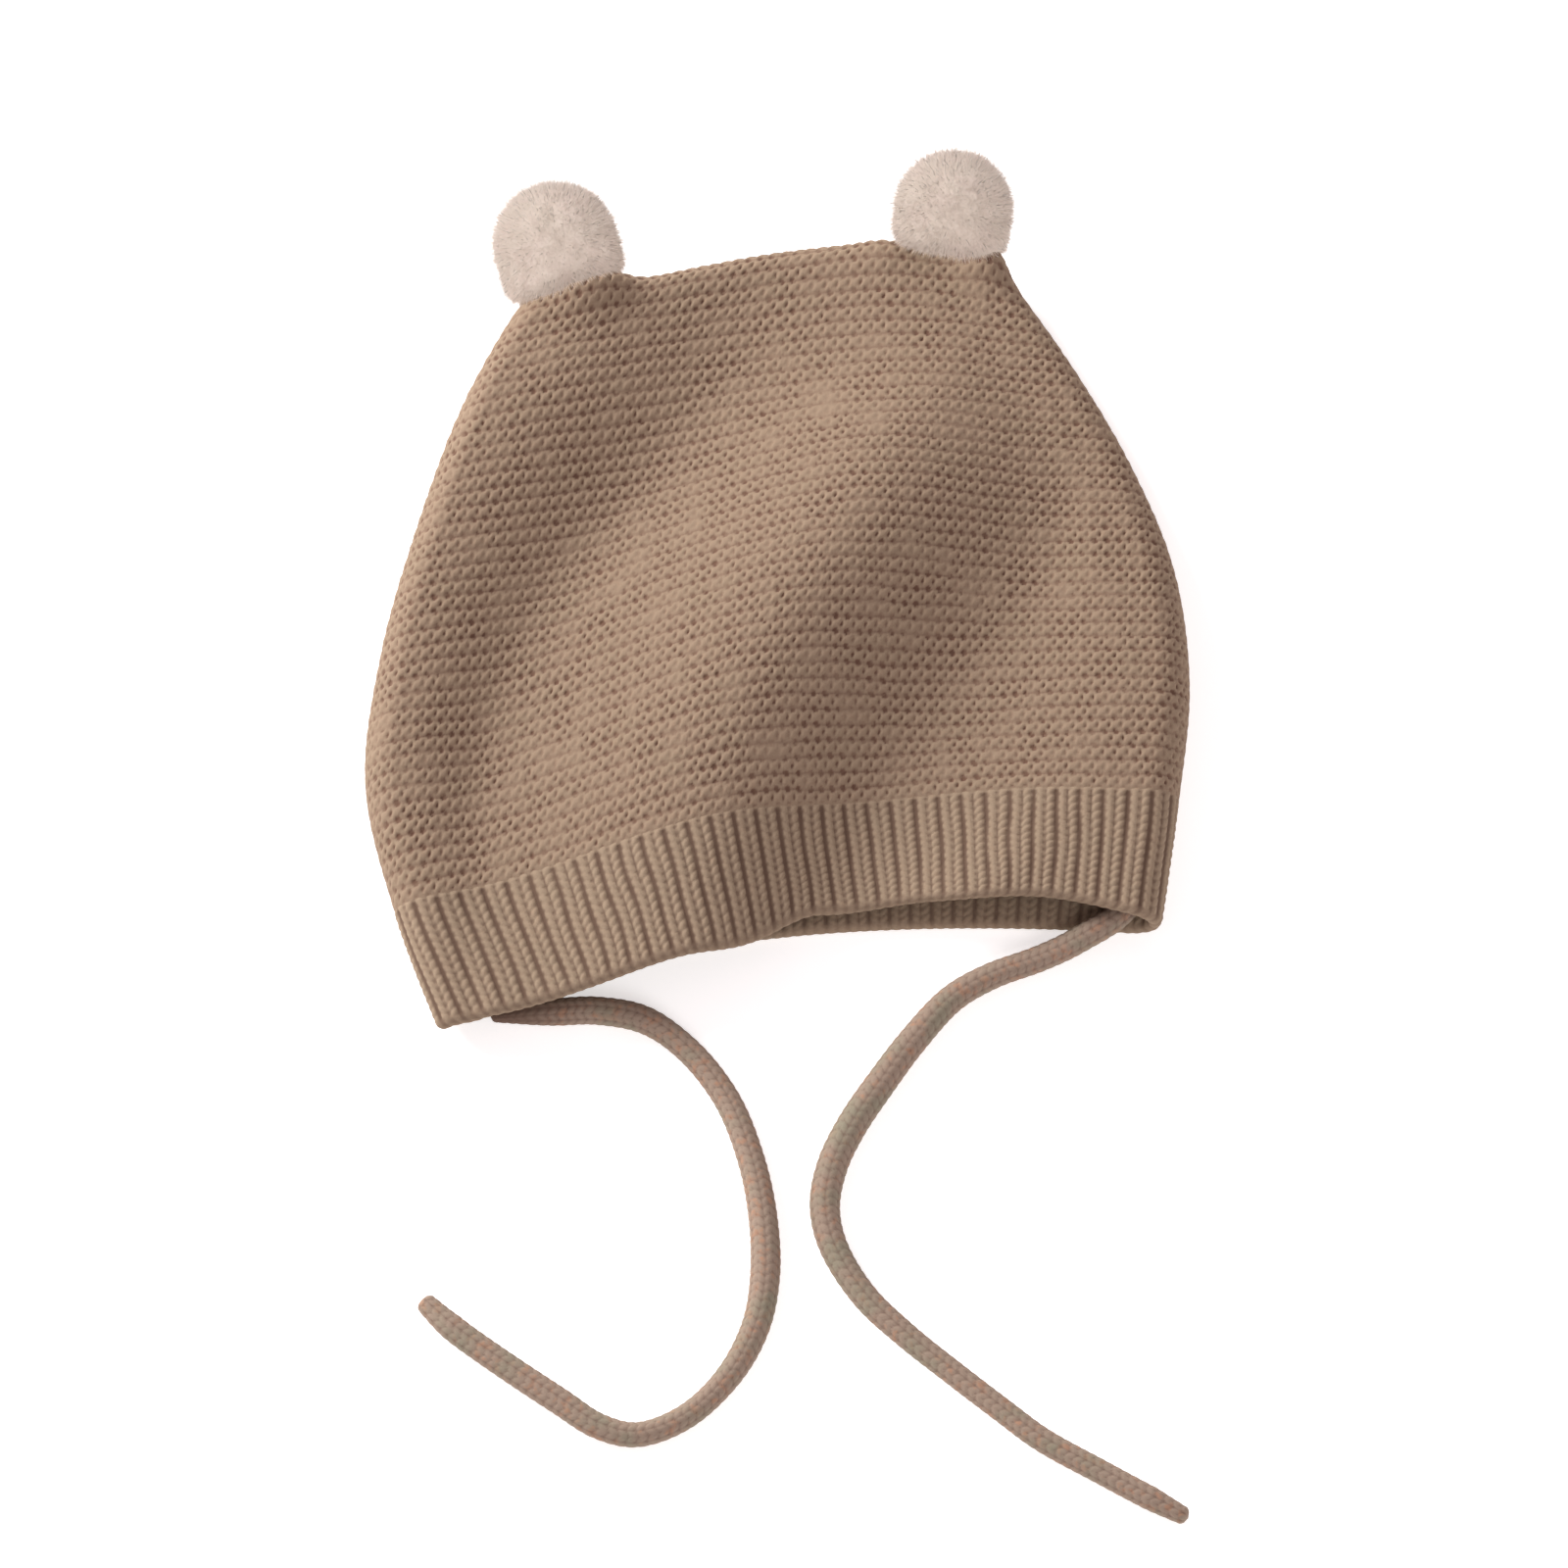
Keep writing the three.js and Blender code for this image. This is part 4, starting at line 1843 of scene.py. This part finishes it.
    def build(self) -> bpy.types.Object:
        """Makes the tie.

        Returns:
            The tie as one piece.
        """
        line = self.middle_line()
        ahead = turned(np.gradient(line, axis=0))
        across = turned(np.cross(ahead, np.array([0.0, 0.0, 1.0])))
        up = np.cross(across, ahead)
        run = np.linspace(0, lengths_along(line)[-1], len(line))
        full, radius = self.radii(run)
        centre = line - up * (self.SOLID_RADIUS - radius)[:, None]
        angle = FULL_TURN * np.arange(self.sides)[None, :] / self.sides
        relief = self.relief(angle, run[:, None])
        closing = rounded(np.minimum(run, run[-1] - run), self.blunt)[:, None]
        swell = radius[:, None] + self.proud - self.depth * (1 - relief)
        swell = swell * np.maximum(closing, self.NARROWEST)
        points = centre[:, None, :] + (
            across[:, None, :] * (swell * np.cos(angle))[:, :, None]
            + up[:, None, :] * (swell * np.sin(angle))[:, :, None]
        )
        # Painted shade: near the band the tie is coloured darker, as if shaded by the band's hem.
        tucked = self.tuck_shade * np.clip(1 - run / self.tucked, 0, 1)[:, None]
        mesher = Mesher()
        numbers = mesher.add_points(points, relief * (1 - tucked))
        around = np.concatenate([numbers, numbers[:, :1]], 1)
        start, end = mesher.add_points(centre[[0, -1]], 0.5)
        around = np.pad(around, ((1, 1), (0, 0)))
        around[0], around[-1] = start, end
        mesher.add_patch(around, (0.01, 0.01, 0.99, 0.99), over=True)
        piece = mesher.finish((self.name,))[0]
        piece.data.materials.append(self.finish.material())
        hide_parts(self.node)
        centre[0] * MM
        2 * full.mean() * MM
        centre * MM
        return piece


# ---------------------------------------------------------------- studio


class Lights(Enum):
    """Which pieces a lamp lights, and which don't shade the others from it."""

    ALL = "all of them"
    PLUSH = "the pompoms only"
    KNIT = "all but the pompoms, whose shade it doesn't cast"


@dataclass(frozen=True)
class Lamp:
    """A round soft lamp that faces the bonnet.

    Attributes:
        name: the lamp's name.
        towards: its direction from the bonnet: ahead of the camera, to its right, and up.
        distance: how far off it is, in millimetres.
        size: how wide it is, in millimetres.
        power: in watts.
        lights: which pieces it lights.
    """

    name: str
    towards: Point
    distance: float
    size: float
    power: float
    lights: Lights = Lights.ALL

    def build(self, ahead: Vector, right: Vector, plush: Sequence[bpy.types.Object]) -> None:
        """Makes the lamp.

        Args:
            ahead: level direction ahead of the camera.
            right: direction to its right.
            plush: the pompoms.
        """
        light = bpy.data.lights.new(self.name, "AREA")
        light.shape = "DISK"
        light.size = self.size * MM
        light.energy = self.power
        holder = bpy.data.objects.new(self.name, light)
        way = ahead * self.towards[0] + right * self.towards[1]
        way = (way + Vector((0, 0, self.towards[2]))).normalized()
        holder.location = way * self.distance * MM
        holder.rotation_mode = "QUATERNION"
        holder.rotation_quaternion = (-way).to_track_quat("-Z", "Y")
        bpy.context.scene.collection.objects.link(holder)
        if self.lights is not Lights.ALL:
            self.link(holder, plush)

    def link(self, holder: bpy.types.Object, plush: Sequence[bpy.types.Object]) -> None:
        """Keeps the lamp to the pompoms, or off them and out of their shade.

        Args:
            holder: the lamp's object.
            plush: the pompoms.
        """
        group = bpy.data.collections.new(f"{self.name}_pieces")
        for piece in plush:
            group.objects.link(piece)
        holder.light_linking.receiver_collection = group
        if self.lights is Lights.KNIT:
            holder.light_linking.blocker_collection = group
        for linked in group.collection_objects:
            only = self.lights is Lights.PLUSH
            linked.light_linking.link_state = "INCLUDE" if only else "EXCLUDE"


# A ball of pile passes light on from strand to strand and so looks evenly lit all round, and
# casts only a faint shade. That is made by lighting the pompoms with their own wide lamp in
# place of the low key lamp, and by letting the key lamp's light through them to the knit.
LAMPS = (
    Lamp("key", (0.53, -0.71, 0.462), 2600.0, 1560.0, 97.5, Lights.KNIT),
    Lamp("fill", (-0.70, 0.25, 0.66), 2000.0, 900.0, 10.0),
    Lamp("plush", (0.35, -0.45, 0.8), 1500.0, 2400.0, 19.5, Lights.PLUSH),
)


@dataclass(frozen=True)
class Studio:
    """Camera, white floor and soft light from the upper left.

    Attributes:
        aim: the point that the camera looks at, in millimetres.
        elevation: of the camera above the floor, in degrees.
        azimuth: how far the camera's right is turned from +X, in degrees.
        distance: from the camera to its aim, in millimetres.
        width: how much of the floor it sees, in millimetres.
        lamps: the lamps.
        ambient: strength of the light from all round.
        ambient_colour: its colour.
    """

    aim: Point = (0.2, -48.7, 0.0)
    elevation: float = 70.0
    azimuth: float = 6.0
    distance: float = 12000.0
    width: float = 384.0
    lamps: tuple[Lamp, ...] = LAMPS
    ambient: float = 0.44
    ambient_colour: Colour = (1.0, 0.85, 0.87)

    SENSOR: ClassVar[float] = 36.0
    FAR: ClassVar[float] = 2.5  # what the camera sees reaches this many times as far as its aim
    FLOOR_SIZE: ClassVar[float] = 12.0  # in metres

    def build(self, plush: Sequence[bpy.types.Object]) -> None:
        """Makes the camera, the floor and the lights.

        Args:
            plush: the pompoms.
        """
        tilt, turn = math.radians(self.elevation), math.radians(self.azimuth)
        ahead = Vector((math.sin(turn), math.cos(turn), 0))
        right = Vector((math.cos(turn), -math.sin(turn), 0))
        view = ahead * math.cos(tilt) + Vector((0, 0, -math.sin(tilt)))
        camera = bpy.data.cameras.new("camera")
        camera.sensor_width = self.SENSOR
        camera.lens = self.SENSOR * self.distance / self.width
        camera.clip_end = self.FAR * self.distance * MM
        holder = bpy.data.objects.new("camera", camera)
        turned_to = Matrix((right, right.cross(view), -view)).transposed()
        place = (Vector(self.aim) - view * self.distance) * MM
        holder.matrix_world = Matrix.Translation(place) @ turned_to.to_4x4()
        bpy.context.scene.collection.objects.link(holder)
        bpy.context.scene.camera = holder
        self.floor()
        for lamp in self.lamps:
            lamp.build(ahead, right, plush)
        world = bpy.data.worlds.new("soft_room")
        world.use_nodes = True
        sky = world.node_tree.nodes["Background"]
        sky.inputs["Color"].default_value = (*self.ambient_colour, 1.0)
        sky.inputs["Strength"].default_value = self.ambient
        bpy.context.scene.world = world
        bpy.context.scene.view_settings.view_transform = "Standard"

    def floor(self) -> None:
        """Makes the floor."""
        bpy.ops.mesh.primitive_plane_add(size=self.FLOOR_SIZE)
        floor = bpy.context.object
        floor.name = "floor"
        floor.data.materials.append(PaperFinish().material())


# ---------------------------------------------------------------- the bonnet


LEFT_ROUTE: tuple[Point, ...] = (
    (-0.0775, -0.1019, 0.00355), (-0.0705, -0.1023, 0.00355), (-0.0614, -0.1030, 0.00355),
    (-0.0514, -0.1038, 0.00355), (-0.0400, -0.1075, 0.00355), (-0.0307, -0.1159, 0.00355),
    (-0.0225, -0.1296, 0.00355), (-0.0182, -0.1455, 0.00355), (-0.0168, -0.1612, 0.00355),
    (-0.0179, -0.1766, 0.00355), (-0.0215, -0.1891, 0.00355), (-0.0291, -0.2008, 0.00355),
    (-0.0411, -0.2105, 0.00355), (-0.0533, -0.2138, 0.00355), (-0.0622, -0.2107, 0.00355),
    (-0.0711, -0.2033, 0.00355), (-0.0863, -0.1900, 0.00355), (-0.0954, -0.1813, 0.00355),
    (-0.1017, -0.1734, 0.00355),
)
RIGHT_ROUTE: tuple[Point, ...] = (
    (0.0840, -0.0875, 0.00520),
    (0.0795, -0.0923, 0.00675), (0.0750, -0.0952, 0.00675), (0.0700, -0.0975, 0.00645),
    (0.0640, -0.0998, 0.00515), (0.0569, -0.1018, 0.00385), (0.0451, -0.1049, 0.00355),
    (0.0351, -0.1097, 0.00355), (0.0244, -0.1196, 0.00355), (0.0162, -0.1289, 0.00355),
    (0.0070, -0.1404, 0.00355), (0.0013, -0.1502, 0.00355), (-0.0015, -0.1603, 0.00355),
    (-0.0005, -0.1705, 0.00355), (0.0056, -0.1839, 0.00355), (0.0143, -0.1947, 0.00355),
    (0.0252, -0.2060, 0.00355), (0.0363, -0.2171, 0.00355), (0.0448, -0.2253, 0.00355),
    (0.0582, -0.2351, 0.00355), (0.0693, -0.2430, 0.00355), (0.0781, -0.2489, 0.00355),
)
POMPOMS = (
    Pompom("left_plush", "left_pompom", 15.3, (-41.4, 91.7), (0.19, -0.93, -0.3), 11.45, seed=4),
    Pompom("right_plush", "right_pompom", 14.4, (56.8, 91.0), (-0.23, -0.84, -0.48), 10.0, seed=9),
)
LEFT_GIRTH: tuple[tuple[float, float], ...] = (
    (0.00, 1.0), (0.03, 2.3), (0.06, 3.2), (0.15, 3.3), (0.20, 2.95), (0.35, 3.1),
    (0.48, 3.5), (0.57, 3.2), (0.63, 2.85), (0.72, 2.85), (0.82, 3.1), (1.00, 3.0),
)
RIGHT_GIRTH: tuple[tuple[float, float], ...] = (
    (0.00, 2.0), (0.05, 3.1), (0.16, 3.0), (0.27, 3.35), (0.37, 3.6),
    (0.47, 3.6), (0.57, 3.1), (0.69, 2.8), (0.95, 2.75), (1.00, 2.75),
)
TIES = (
    Tie("left_tie_knit", "left_tie", LEFT_ROUTE, LEFT_GIRTH, tuck_shade=0.9),
    Tie("right_tie_knit", "right_tie", RIGHT_ROUTE, RIGHT_GIRTH, tip=1.9, tuck_shade=0.1),
)


def main() -> None:
    """Builds the bonnet piece by piece and then its studio, and reports each of them."""
    logging.basicConfig(level=logging.INFO, format="%(message)s")
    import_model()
    form = Form()
    pieces = [tie.build() for tie in TIES]
    pieces += Crown(form).build()
    pieces.append(Band(form).build())
    pompoms = [pompom.build() for pompom in POMPOMS]
    for piece in [*pieces, *pompoms]:
        LOG.info("%s: %d triangles", piece.name, len(piece.data.polygons))
    Studio().build(pompoms)
    LOG.info("studio: camera, floor and %d lamps", len(LAMPS))


if __name__ == "__main__":
    main()
